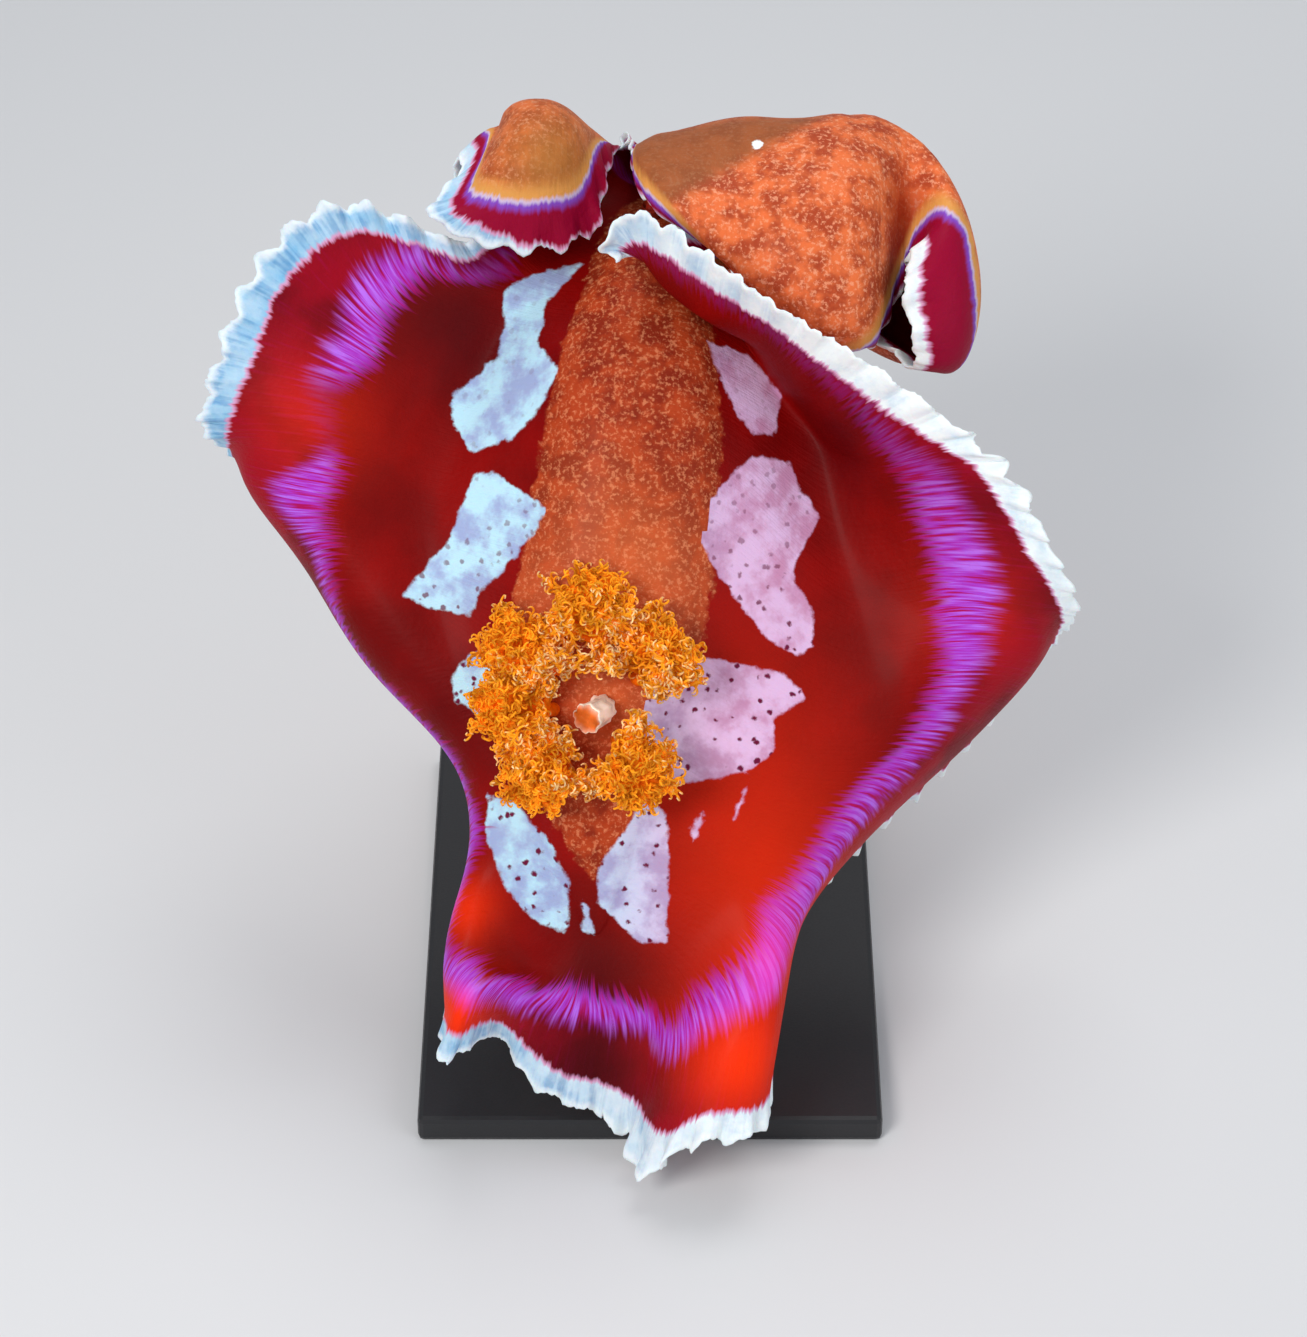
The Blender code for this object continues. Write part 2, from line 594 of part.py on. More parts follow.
def surface_normals(grid):
    around = np.roll(grid, -1, axis=0) - np.roll(grid, 1, axis=0)
    outward = np.gradient(grid, axis=1)
    normals = unit(np.cross(outward, around))
    for _ in range(3):
        normals = unit(2 * normals + np.roll(normals, 1, axis=0) + np.roll(normals, -1, axis=0))
    return normals


def add_frill(grid, normals):
    """Ruffle the rim and vary its reach, with a seeded draw."""
    dice = random.Random(7)
    count = len(grid)
    spacing = 0.5 * np.linalg.norm(np.roll(grid[:, -1], -1, axis=0) - np.roll(grid[:, -1], 1, axis=0), axis=1)
    outward = unit(grid[:, -1] - grid[:, -2])
    reach = np.linalg.norm(grid[:, -1] - grid[:, -2], axis=1)
    turn = np.linalg.norm(np.roll(outward, -2, axis=0) - np.roll(outward, 2, axis=0), axis=1)
    calm = np.clip(FRILL_CALM - turn, 0, 1)
    for c in range(count):
        height = min(FRILL_HEIGHT, FRILL_SHARE * spacing[c], FRILL_REACH * reach[c])
        height *= calm[c] * dice.uniform(0.6, 1.2)
        side = 1 if c % 2 else -1
        grid[c, -1] += normals[c, -1] * height * side
        grid[c, -1] += outward[c] * dice.uniform(-0.5, 0.5) * height
        grid[c, -2] += normals[c, -2] * height * 0.3 * side


def mantle_piece(name, first, last, grid, normals, half, material, group):
    """One length of the mantle from column first to column last, both even."""
    total = len(grid)
    rows = len(ROWS)
    fine_from = rows - FRILL_ROWS
    span = list(range(first, last + 1)) if last > first else list(range(first, last + total + 1))
    verts = []
    index = {}
    for c in span:
        for row in range(rows):
            if row < fine_from and (c - first) % 2:
                continue
            point = grid[c % total, row]
            if c in (span[0], span[-1]):
                step = 2 if c == span[0] else -2
                toward = grid[(c + step) % total, row] - point
                along = np.gradient(grid[c % total], axis=0)[row]
                toward = toward - unit(along) * (toward @ unit(along))
                point = point + unit(toward) * (GAP + BEND_ROOM) / 2
            for side in (1, -1):
                index[side, c, row] = len(verts)
                verts.append(point + normals[c % total, row] * half[c % total, row] * side)
    faces = []
    for side in (1, -1):
        for c in span[:-1:2]:
            for row in range(rows - 1):
                faces += cell_faces(index, side, c, row, fine_from)
    for row in range(rows - 1):
        for c in (span[0], span[-1]):
            faces.append((index[1, c, row], index[1, c, row + 1], index[-1, c, row + 1], index[-1, c, row]))
    for c in span[:-1:2]:
        faces.append((index[1, c, 0], index[1, c + 2, 0], index[-1, c + 2, 0], index[-1, c, 0]))
    for c in span[:-1]:
        end = rows - 1
        faces.append((index[1, c, end], index[1, c + 1, end], index[-1, c + 1, end], index[-1, c, end]))
    sheet = mesh_object(name, verts, faces, material, group)
    return fused_folds(sheet, material, group) if name in FOLDED_NODES else sheet


def fused_folds(thing, material, group):
    """Fuse a sheet with itself where its folds touch."""
    name = thing.name
    thing.name = name + "_raw"
    nothing = bpy.data.collections.new("nothing")
    union = thing.modifiers.new("fuse", "BOOLEAN")
    union.operand_type = "COLLECTION"
    union.collection = nothing
    union.operation = "UNION"
    union.solver = "EXACT"
    union.use_self = True
    return applied(name, thing, [thing], nothing, material, group)


def cell_faces(index, side, c, row, fine_from):
    """Triangles of one cell, laid out alike on both faces."""
    def at(column, level):
        return index[side, column, level]

    if row + 1 < fine_from:
        corners = at(c, row), at(c + 2, row), at(c + 2, row + 1), at(c, row + 1)
        return [(corners[0], corners[1], corners[2]), (corners[0], corners[2], corners[3])]
    if row < fine_from:
        low, high, mid = row, row + 1, c + 1
        return [(at(c, low), at(mid, high), at(c, high)), (at(c, low), at(c + 2, low), at(mid, high)),
                (at(c + 2, low), at(c + 2, high), at(mid, high))]
    faces = []
    for column in (c, c + 1):
        corners = at(column, row), at(column + 1, row), at(column + 1, row + 1), at(column, row + 1)
        faces += [(corners[0], corners[1], corners[2]), (corners[0], corners[2], corners[3])]
    return faces


def mantle(material, group):
    columns = mantle_columns()
    grid, normals, half = mantle_surface(columns)
    add_frill(grid, normals)
    names = [rib[0] for rib in RIBS]
    starts = {names[int(c)]: k for k, c in enumerate(columns) if c == int(c)}
    for name, (first, last) in MANTLE_NODES.items():
        mantle_piece(name, starts[first], starts[last], grid, normals, half, material, group)


# Gills, papilla and feelers

def back_site(x, y):
    """The point of the back under x, y of the animal's frame, with the back's direction there."""
    share = float(np.interp(y, SPINE_LINE[:, 1], np.linspace(0, 1, len(SPINE_LINE))))
    centre, forward, right, back = spine_frame(share)
    degrees = math.degrees(math.acos(1 - 2 * share))
    wide = abs(side_width(degrees))
    across = (x - centre[0]) / max(right[0], 0.2)
    lift = math.sqrt(max(1 - (across / wide) ** 2, 0.0))
    point = centre + right * across + back * (WALL_TOP + HUMP * wide * lift)
    slope = HUMP * across / (wide * max(lift, 0.2))
    return point, unit(back + right * slope), forward


def bent_path(start, direction, bend, length, steps):
    """A path that sets off in one direction and turns steadily towards another."""
    points = [np.array(start, float)]
    for k in range(steps):
        aim = unit(direction + bend * (k / steps))
        points.append(points[-1] + aim * length / steps)
    return points


def own_room(points, number, radius):
    """Hold a path back from the planes halfway to the neighbouring plumes."""
    own = np.array(GILL_SITES[number - 1][1], float)
    kept = np.array(points, float)
    for k, (_, other) in enumerate(GILL_SITES, start=1):
        if k == number:
            continue
        across = unit(np.array(other) - own)
        over = (kept - (own + np.array(other)) / 2) @ across + radius + GAP / 2
        kept -= np.maximum(over, 0)[:, None] * across
    return kept


def gill(number, site, plume, material, group):
    """One gill: a short trunk that fans into branches, and these into curled filaments."""
    dice = random.Random(40 + number)
    root, up, _ = back_site(*site)
    root = root + up * (GAP + 2 * BEND_ROOM)
    plume = np.array(plume, float)
    bend = 0.45 * root + 0.55 * plume + up * 2.5
    trunk_path = flow([root, root + up * TRUNK_RISE, bend, plume], np.linspace(0, 3, 6))
    radii = np.interp(np.linspace(0, 1, 6), *zip(*TRUNK_RADII))
    pieces = [tube(trunk_path, radii, 6, "trunk", material, group)]
    for k in range(GILL_BRANCHES):
        turn = 2 * math.pi * k / GILL_BRANCHES + dice.uniform(-0.25, 0.25) + number
        ring = np.array([math.cos(turn), math.sin(turn), 0.0])
        start = flow(trunk_path, [(0.55 + 0.38 * k / GILL_BRANCHES) * (len(trunk_path) - 1)])[0]
        aim = unit(ring + np.array([0, 0, dice.uniform(0.15, 0.5)]))
        bend = np.array([0, 0, dice.uniform(-0.3, 0.6)])
        branch = bent_path(start, aim, bend, BRANCH_LENGTH * dice.uniform(0.85, 1.1), 3)
        branch = own_room(branch, number, GILL_ROOM * BRANCH_RADIUS)
        radii = BRANCH_RADIUS * np.array(BRANCH_TAPER)
        pieces.append(tube(branch, radii, 4, "branch", material, group))
        for j in range(BRANCH_FILAMENTS):
            place_on = flow(branch, [1.1 + 0.75 * j])[0]
            side = 1 if (j + k) % 2 else -1
            across = np.array([-ring[1], ring[0], 0.0]) * side
            aim = unit(across + ring * 0.5 + np.array([0, 0, dice.uniform(0.2, 1.0)]))
            curl = ring * 0.5 - across * 0.9 + np.array([0, 0, dice.uniform(0.4, 1.6)])
            path = bent_path(place_on, aim, curl, FILAMENT_LENGTH * dice.uniform(0.8, 1.2), 3)
            path = own_room(path, number, GILL_ROOM * FILAMENT_RADIUS)
            radii = FILAMENT_RADIUS * np.array(FILAMENT_TAPER)
            pieces.append(tube(path, radii, 4, "filament", material, group))
    return joined("gill_%d" % number, pieces, material, group)


def turned(name, point, axis, profile, sides, material, group):
    """A turned form from (radius, height) pairs, on an axis through a point."""
    axis = unit(np.array(axis, float))
    side = unit(np.cross(axis, (0.2, 0.9, 0.3)))
    across = np.cross(axis, side)
    circle = [math.cos(a) * side + math.sin(a) * across for a in np.arange(sides) * 2 * math.pi / sides]
    rings = [[point + axis * height + radius * spoke for spoke in circle] for radius, height in profile]
    return loft(rings, name, material, group)


def papilla(material, group):
    """A short tube that leans over, with a rolled lip and an opening sunk in its end."""
    root, up, _ = back_site(*PAPILLA_SITE)
    low = root + up * (GAP + BEND_ROOM)
    first, second, lean = PAPILLA_RISE
    axis = unit(np.array(PAPILLA_LEAN))
    path = flow([low, low + up * first, low + up * second + axis * lean], np.linspace(0, 2, 7))
    end = unit(path[-1] - path[-2])
    ahead = np.vstack([unit(np.gradient(path, axis=0)), end, end])
    lip, depth = PAPILLA_LIP
    path = np.vstack([path, path[-1] + end * lip, path[-1] + end * depth])
    return tube(path, PAPILLA_RADII, PAPILLA_SIDES, "anal_papilla", material, group, ahead)


def rhinophore(name, across, material, group):
    """A club with stacked plates, standing in a short sheath."""
    centre, forward, right, back = spine_frame(RHINOPHORE_STATION)
    degrees = math.degrees(math.acos(1 - 2 * RHINOPHORE_STATION))
    wide = abs(side_width(degrees))
    lift = math.sqrt(1 - (across / wide) ** 2)
    up = unit(back + right * HUMP * across / (wide * lift))
    root = centre + right * across + back * (WALL_TOP + HUMP * wide * lift) + up * (GAP + 3 * BEND_ROOM)
    profile = list(RHINOPHORE_SHEATH)
    for plate in range(RHINOPHORE_PLATES):
        base = PLATE_FIRST + PLATE_STEP * plate
        radius = PLATE_RADIUS - PLATE_SHRINK * plate
        profile += [(radius, base), (radius * PLATE_WAIST, base + PLATE_THICK)]
    profile += [RHINOPHORE_TIP]
    return turned(name, root, up, profile, 10, material, group)


def oral_tentacle(name, side, material, group):
    """A flat lobe beside the mouth that ends in short fingers."""
    _, forward, right, back = spine_frame(HEAD_STATION)
    inside, ahead, depth = LOBE_ROOT
    root = under_front(side * (HEAD_SIZE[0] - inside), ahead, depth)
    out = unit(right * side + forward * 0.35 - back * 0.25)
    broad = unit(forward - out * (forward @ out))
    thin = np.cross(out, broad)
    palm_rings = []
    for reach, wide, thick in LOBE_RINGS:
        ring = []
        for k in range(10):
            turn = 2 * math.pi * k / 10
            ring.append(root + out * reach + broad * wide * math.cos(turn) + thin * thick * math.sin(turn))
        palm_rings.append(ring)
    pieces = [loft(palm_rings, "palm", material, group)]
    for k in range(LOBE_FINGERS):
        spread = 2 * k / (LOBE_FINGERS - 1) - 1
        start = root + out * 9.5 + broad * spread * 4.4
        length = FINGER_LENGTH - 2.2 * abs(spread)
        path = bent_path(start, out + broad * spread * 0.7, -thin * side * 0.5, length, 4)
        pieces.append(tube(path, FINGER_RADII, 6, "finger", material, group))
    lobe = joined(name + "_whole", pieces, material, group)
    return cut_clear(name, lobe, head_shape("head_room", GAP + BEND_ROOM, material, group), material, group)


def cut_clear(name, thing, cutter, material, group):
    """Cut a node back so that it meets its neighbour face to face."""
    cut = thing.modifiers.new("clear", "BOOLEAN")
    cut.object = cutter
    cut.operation = "DIFFERENCE"
    cut.solver = "EXACT"
    return applied(name, thing, [thing, cutter], None, material, group)


# Stand, in world metres

def stand_base(material, group):
    bpy.ops.mesh.primitive_cube_add(size=1)
    base = bpy.context.object
    base.name = "stand_base"
    base.scale = (BASE_WIDTH * MM, BASE_LENGTH * MM, BASE_THICK * MM)
    base.location = (0, 0, BASE_THICK * MM / 2)
    bpy.ops.object.transform_apply(location=True, rotation=False, scale=True)
    edge = base.modifiers.new("edge", "BEVEL")
    edge.width = BASE_EDGE * MM
    edge.segments = 2
    base.data.materials.append(material)
    for owner in base.users_collection:
        owner.objects.unlink(base)
    group.objects.link(base)
    return base


def sole_site(share):
    """A point on the sole in world metres, with the sole's outward direction."""
    degrees = math.degrees(math.acos(1 - 2 * share))
    low = min(range(*FOOT_RANGE, RING_STEP_DEG), key=lambda d: abs(d + RING_STEP_DEG / 2 - degrees))
    rear, front = foot_ring(low), foot_ring(low + RING_STEP_DEG)
    corners = place([rear[3], rear[4], front[3], front[4]])
    point = corners.mean(axis=0)
    normal = unit(np.cross(corners[1] - corners[0], corners[2] - corners[0]))
    return point, normal if normal[2] < 0 else -normal


def stand_rod(name, share, material, group):
    """An upright rod whose top is cut to lie along the sole."""
    point, normal = sole_site(share)
    rings = []
    for level in (0, 1):
        ring = []
        for k in range(ROD_SIDES):
            turn = 2 * math.pi * k / ROD_SIDES
            x = point[0] + ROD_RADIUS * MM * math.cos(turn)
            y = point[1] + ROD_RADIUS * MM * math.sin(turn)
            top = point[2] - ((x - point[0]) * normal[0] + (y - point[1]) * normal[1]) / normal[2]
            top += (GAP + ROD_PLAY) * MM / normal[2]
            ring.append((x, y, (BASE_THICK + GAP) * MM if level == 0 else top))
        rings.append(ring)
    faces = []
    for k in range(ROD_SIDES):
        after = (k + 1) % ROD_SIDES
        faces.append((k, after, ROD_SIDES + after, ROD_SIDES + k))
    faces += [tuple(range(ROD_SIDES)), tuple(range(ROD_SIDES, 2 * ROD_SIDES))]
    mesh = bpy.data.meshes.new(name)
    mesh.from_pydata(rings[0] + rings[1], [], faces)
    return finish_object(name, mesh, material, group)


def main():
    """Build the animal and its stand."""
    clear_scene()
    group = make_collection("spanish_dancer")
    skins = {name: make_material(name) for name in COLOURS if name != "rod"}
    skins["rod"] = make_material("rod", metallic=1.0, roughness=0.3)
    torso("torso_rear", 0, TORSO_SPLIT, skins["back"], group)
    torso("torso_front", TORSO_SPLIT, 180, skins["back"], group)
    foot("foot_rear", FOOT_RANGE[0], FOOT_SPLIT, skins["foot"], group)
    foot("foot_front", FOOT_SPLIT, FOOT_RANGE[1], skins["foot"], group)
    head(skins["foot"], group)
    mantle(skins["mantle"], group)
    for number, (site, plume) in enumerate(GILL_SITES, start=1):
        gill(number, site, plume, skins["gill"], group)
    papilla(skins["pale"], group)
    for name, across in RHINOPHORE_SITES.items():
        rhinophore(name, across, skins["gill"], group)
    oral_tentacle("oral_tentacle_left", -1, skins["foot"], group)
    oral_tentacle("oral_tentacle_right", 1, skins["foot"], group)
    stand_base(skins["stand"], group)
    for name, share in ROD_SITES.items():
        stand_rod(name, share, skins["rod"], group)


main()
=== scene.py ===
# Spanish dancer nudibranch, swimming, on a plain display stand: its skin, gills, colours, light and camera.
# The animal is drawn in its own frame in millimetres: x to its right, y along the body to the head,
# z out of its back. place() leans that frame back and turns it into metres in the world.

import math

import bmesh
import bpy
import numpy as np
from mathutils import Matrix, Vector


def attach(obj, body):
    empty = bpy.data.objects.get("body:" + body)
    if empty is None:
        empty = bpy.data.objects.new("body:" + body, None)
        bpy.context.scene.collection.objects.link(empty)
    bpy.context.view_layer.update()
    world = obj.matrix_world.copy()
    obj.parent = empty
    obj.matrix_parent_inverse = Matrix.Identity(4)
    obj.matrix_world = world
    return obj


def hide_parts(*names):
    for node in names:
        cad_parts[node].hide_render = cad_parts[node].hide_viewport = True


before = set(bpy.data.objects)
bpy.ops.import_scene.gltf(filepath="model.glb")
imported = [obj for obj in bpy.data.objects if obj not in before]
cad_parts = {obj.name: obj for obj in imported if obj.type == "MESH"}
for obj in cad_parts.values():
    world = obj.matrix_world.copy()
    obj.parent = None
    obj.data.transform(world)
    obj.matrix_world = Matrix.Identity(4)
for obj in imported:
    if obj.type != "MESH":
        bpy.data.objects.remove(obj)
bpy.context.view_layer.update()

MM = 0.001
GAP = 0.3                        # mm between parts, as in the solids
BEND_ROOM = 0.15                 # extra room where a seam between two nodes runs round a bend
FULL_TURN = 360
FAR = 99.0                       # mm, for points that something lies nowhere near
BODY_FROM_RIM = 90.0             # mm, for the body, which has no rim of its own

# How the animal is carried, as in the solids
LEAN_DEG = 40.0
CARRY = (-15.0, -28.0, 110.0)

# Body, in mm. Its ring stations run round it in degrees: 0 at its rear, 90 on its right, 180 at its front
SPINE = [(1, -59, -9), (1, -32, -3), (1, 0, 1), (6, 28, 3), (10, 55, 4), (12, 80, 2), (14, 100, -7),
         (17, 117, -22), (25, 130, -40)]
SPINE_STEPS = 400
HALF_WIDTHS = [14, 18, 22, 23, 22, 21, 19, 17, 15]
RING_STEP_DEG = 5
WALL_TOP = 1.35                  # the body's side is a low wall between these heights
WALL_BOTTOM = -1.7
HUMP = 0.42                      # the back's height over that wall, as a share of the half width
BELLY = 0.40                     # the belly's depth under it, in the same way
BELLY_WIDTH = 0.62               # the half width of its flat middle
FOOT_RANGE = (20, 140)           # stations between which the foot runs, on either side
FOOT_THICK = 5.0
FOOT_WIDTH = 0.56
MIDDLE_GAP = 0.9                 # half the strip that closes the middle of the back and of the sole

# The belly's rows from the side in: shares of the half width, of the wall's height and of the belly's
# depth. The foot's: shares of its half width and of its thickness
BELLY_SHAPE = [(0.96, 1, 0), (0.84, 0.55, 0.45), (0.72, 0.15, 0.85), (BELLY_WIDTH, 0, 1)]
FOOT_SHAPE = [(0.84, 0.1), (0.96, 0.3), (1.0, 0.55), (0.98, 0.8), (0.9, 0.95), (0.75, 1), (0.6, 1),
              (0.45, 0.97), (0.3, 0.95), (0.15, 0.93)]

# Where the head, the rhinophores and the papilla grow: shares of the spine's length, or x and y in mm
HEAD_STATION = 0.945
HEAD_SIZE = (9.0, 10.0, 6.0)     # half its width, length and depth
RHINOPHORE_STATION = 0.90
RHINOPHORE_SITES = {"rhinophore_left": -4.5, "rhinophore_right": 4.5}
PAPILLA_SITE = (3, -1)
PAPILLA_LEAN = (-0.75, -0.35, 1.0)

# Mantle, in mm, as in the solids
ROOT_THICK = 2.4
RIM_THICK = 0.9
THINNEST = 0.5
FOLD_SHARE = 0.3                 # the most of a bend's radius that half the thickness takes up
THIN_SPREAD = 1.3                # how many times thicker it is at most beside a thin place
SMOOTHING = 4                    # how often the sheet is evened out round the body

# Its rows, as shares of the way from root to rim, and its columns, at two to a STATION_LENGTH of rim
ROWS = [0, 0.08, 0.18, 0.29, 0.41, 0.53, 0.65, 0.77, 0.87, 0.94, 1.0]
STATION_LENGTH = 9.0
RIB_LEAD = 6.0                   # how far inside the body's side the point lies that a rib's curve comes from
RIB_STEPS = 120
ROOT_EASE = 0.2                  # share of its length over which the mantle eases onto its root
MIDDLE_THICK = 0.62              # its thickness halfway out, as a share of the root's

# The skin's own detail
COLUMN_SPLIT = 6                 # fine columns for each column of the solids
ROW_SPLIT = [3, 3, 4, 4, 4, 4, 4, 5, 6, 8]    # and fine rows for each of theirs
BACK_ROWS = 14
BELLY_ROWS = len(BELLY_SHAPE) + len(FOOT_SHAPE) + 2
SOLE_ROWS = len(FOOT_SHAPE) + 1  # of these, the ones on the foot
FRILL_DEPTH = 10.0               # how far in from the rim its ruffles start
FRILL_ROOM = 30.0                # a mantle narrower than this has a lower frill
FRILL_SEEDS = (11, 23)
FRILL_SWAY = [(9.7, 2.3), (4.3, 0.6), (2.1, 0.2)]        # length and height of each wave out of the sheet
FRILL_REACH = [(10.3, 1.6), (4.1, 0.5), (1.7, 0.28)]    # and of each wave of the rim's outline
WANDER = (1.7, 2.9, 4.3)         # how many times longer than a wave are those that shift it
WANDER_TURN = 1.1                # and the radians that each shifts it by
SWELL = (2.3, 0.68, 0.32)        # the one that makes it rise and fall: times longer, middle and range
RIM_ROUND = 1.2                  # how far in from the rim its edge is rounded
RIM_LEFT = 0.12                  # the square of the share of its thickness that the very rim keeps
ROOT_ROWS = 5                    # rows over which the mantle turns away from the back's own direction
BACK_SOFT = (6, BACK_ROWS + 8, 10)    # the rows between which the fold at the root is softened, and how often
BELLY_SOFT = (3, BELLY_ROWS + 8, 4)

# The mantle's ribs: each one's station and the points that it runs through from root to rim, in mm
RIBS = [
    ("tail_mid", 2, (2, -72, -10), (5, -85, -18), (3, -107, -26)),
    ("tail_fold", 8, (12, -73, -10), (15, -86, -17), (10, -111, -24)),
    ("tail_tongue", 12, (19, -73, -8), (20, -87, -8), (12, -122, -14)),
    ("tail_right", 20, (26, -69, -5), (33, -85, 2), (27, -110, 1)),
    ("tail_right_corner", 32, (34, -55, -3), (44, -71, 3), (42, -110, -3)),
    ("right_rear_1", 45, (35, -40, -2), (53, -48, -7), (54, -55, -20), (46, -68, -46)),
    ("right_rear_2", 60, (45, -23, -2), (68, -26, -6), (71, -33, -20), (65, -42, -48)),
    ("right_rear_3", 75, (55, -5, -2), (88, -4, -4), (99, -6, -18), (93, -16, -46)),
    ("right_low", 88, (63, 13, -4), (92, 15, 2), (113, 14, -4), (117, 13, -30)),
    ("right_tip", 96, (65, 25, -4), (90, 27, 4), (109, 25, 6), (123, 24, -4)),
    ("right_mid", 102, (63, 40, -6), (83, 42, 6), (101, 42, 12), (114, 38, 10)),
    ("right_upper", 108, (58, 58, -8), (75, 56, 6), (91, 58, 16), (103, 57, 18)),
    ("right_top", 113, (53, 71, -10), (66, 62, 2), (77, 67, 16), (85, 71, 22)),
    ("flap_1", 119, (43, 85, -8), (50, 79, 2), (56, 81, 14), (63, 86, 24)),
    ("flap_2", 127, (38, 93, -8), (42, 89, 3), (43, 93, 16), (43, 98, 26)),
    ("flap_3", 134, (35, 100, -7), (31, 94, 4), (25, 97, 11), (24, 105, 20), (26, 111, 27)),
    ("flap_4", 141, (33, 108, -9), (27, 103, 5), (16, 105, 12), (11, 114, 20), (9, 121, 27)),
    ("flap_curl", 147, (36, 113, -14), (31, 106, 2), (17, 107, 12), (6, 110, 17), (2, 107, 21)),
    ("flap_back", 151, (39, 115, -15), (36, 109, -3), (29, 112, 2), (24, 119, 2)),
    ("flap_end", 155, (41, 117, -22), (45, 113, -14)),
    ("notch_right", 159, (42, 116, -31), (52, 110, -23)),
    ("cup_low", 163, (46, 110, -41), (66, 96, -41), (86, 84, -30), (95, 81, -14), (92, 80, -3), (83, 82, 3)),
    ("cup_mid", 166, (54, 113, -43), (84, 105, -36), (99, 101, -18), (98, 99, -2), (89, 96, 5), (79, 94, 5)),
    ("cup_high", 169, (54, 122, -44), (85, 120, -34), (97, 117, -16), (95, 112, -1), (86, 108, 5),
     (76, 106, 4)),
    ("hood_right", 173, (54, 138, -42), (84, 142, -18), (91, 130, -3), (88, 120, 3), (82, 113, 2)),
    ("hood_hollow", 176, (49, 143, -40), (76, 148, -18), (80, 132, -12), (80, 118, -14), (79, 105, -16)),
    ("hood_ridge", 180, (44, 143, -40), (64, 148, -14), (67, 124, 10), (68, 101, 11), (69, 87, 6),
     (68, 86, -4)),
    ("hood_front", 184, (36, 143, -40), (53, 146, -14), (52, 124, 12), (57, 99, 12), (62, 86, 5),
     (60, 92, -8)),
    ("hood_left", 188, (31, 143, -40), (40, 148, -18), (37, 127, 6), (41, 106, 10), (46, 97, 4),
     (45, 103, -7)),
    ("hood_far", 192, (24, 141, -38), (25, 145, -20), (22, 130, 7), (27, 117, 13), (32, 110, 10),
     (34, 113, 2)),
    ("hood_corner", 195, (21, 140, -38), (18, 144, -21), (13, 134, 3), (14, 125, 8), (17, 120, 7)),
    ("hood_end", 199, (17, 139, -39), (13, 142, -29), (10, 141, -18)),
    ("notch_left", 203, (13, 137, -40), (9, 145, -34)),
    ("scroll_right", 207, (5, 134, -31), (2, 143, -20), (1, 139, -6), (3, 130, -4)),
    ("scroll_mid", 212, (0, 131, -29), (-4, 147, -16), (-3, 140, 8), (-2, 127, 8), (2, 116, 1)),
    ("scroll_knob", 217, (-6, 129, -26), (-9, 151, -8), (-8, 138, 16), (-9, 124, 14), (-8, 112, 5)),
    ("scroll_front", 222, (-11, 127, -24), (-17, 150, -6), (-18, 138, 16), (-22, 123, 14), (-25, 112, 8)),
    ("scroll_tongue", 225, (-14, 124, -22), (-21, 147, -10), (-25, 134, 10), (-33, 123, 10), (-43, 122, 8)),
    ("scroll_notch", 228, (-15, 122, -21), (-22, 146, -12), (-24, 140, 1), (-29, 132, 4)),
    ("scroll_back", 231, (-16, 118, -20), (-24, 143, -16), (-29, 146, -6), (-35, 141, 1)),
    ("scroll_rear", 234, (-16, 112, -16), (-23, 128, -18), (-29, 131, -12), (-34, 130, -6)),
    ("left_start", 237, (-17, 105, -12), (-24, 109, -10), (-28, 113, -6)),
    ("left_top", 242, (-20, 99, -12), (-40, 105, -4), (-47, 121, 0)),
    ("left_upper", 248, (-25, 88, -12), (-50, 98, 0), (-64, 124, 8)),
    ("left_lobe", 254, (-33, 76, -12), (-57, 90, 2), (-83, 108, 10)),
    ("left_mid", 260, (-38, 68, -10), (-62, 80, 4), (-91, 89, 8)),
    ("left_tip", 266, (-40, 60, -8), (-67, 67, 4), (-98, 68, 0)),
    ("left_low", 273, (-43, 48, -6), (-68, 52, 0), (-87, 57, -8), (-91, 64, -30)),
    ("left_rear_1", 284, (-40, 33, -4), (-64, 38, -2), (-73, 35, -18), (-69, 34, -44)),
    ("left_rear_2", 298, (-33, 13, -2), (-53, 13, -4), (-58, 10, -20), (-50, 5, -46)),
    ("left_rear_3", 314, (-21, -13, -2), (-29, -16, -6), (-33, -18, -18), (-24, -24, -42)),
    ("left_rear_4", 328, (-17, -38, -5), (-26, -35, -6), (-30, -38, -16), (-27, -50, -40)),
    ("tail_left", 338, (-18, -58, -8), (-32, -59, -2), (-37, -67, -10), (-35, -77, -30)),
    ("tail_left_corner", 344, (-18, -66, -8), (-29, -72, 4), (-36, -91, 2)),
    ("tail_notch", 349, (-12, -70, -10), (-19, -73, -4), (-22, -84, -24)),
    ("tail_mid_left", 355, (-6, -72, -10), (-12, -80, -14), (-19, -97, -22)),
]

# The nodes of flesh that one skin stands for
FLESH_NODES = ["torso_rear", "torso_front", "foot_rear", "foot_front", "head", "mantle_right_rear",
               "mantle_right_lobe", "mantle_right_flap", "mantle_front_cup", "mantle_front_hood",
               "mantle_front_scroll", "mantle_left_lobe", "mantle_left_rear", "mantle_tail",
               "oral_tentacle_left", "oral_tentacle_right"]

# Camera, in mm of the animal's frame and metres
CAMERA_TARGET = (15.9, 7.9, 0.0)
CAMERA_DISTANCE = 1.0
CAMERA_LENS = 107.7
CAMERA_SENSOR = 36

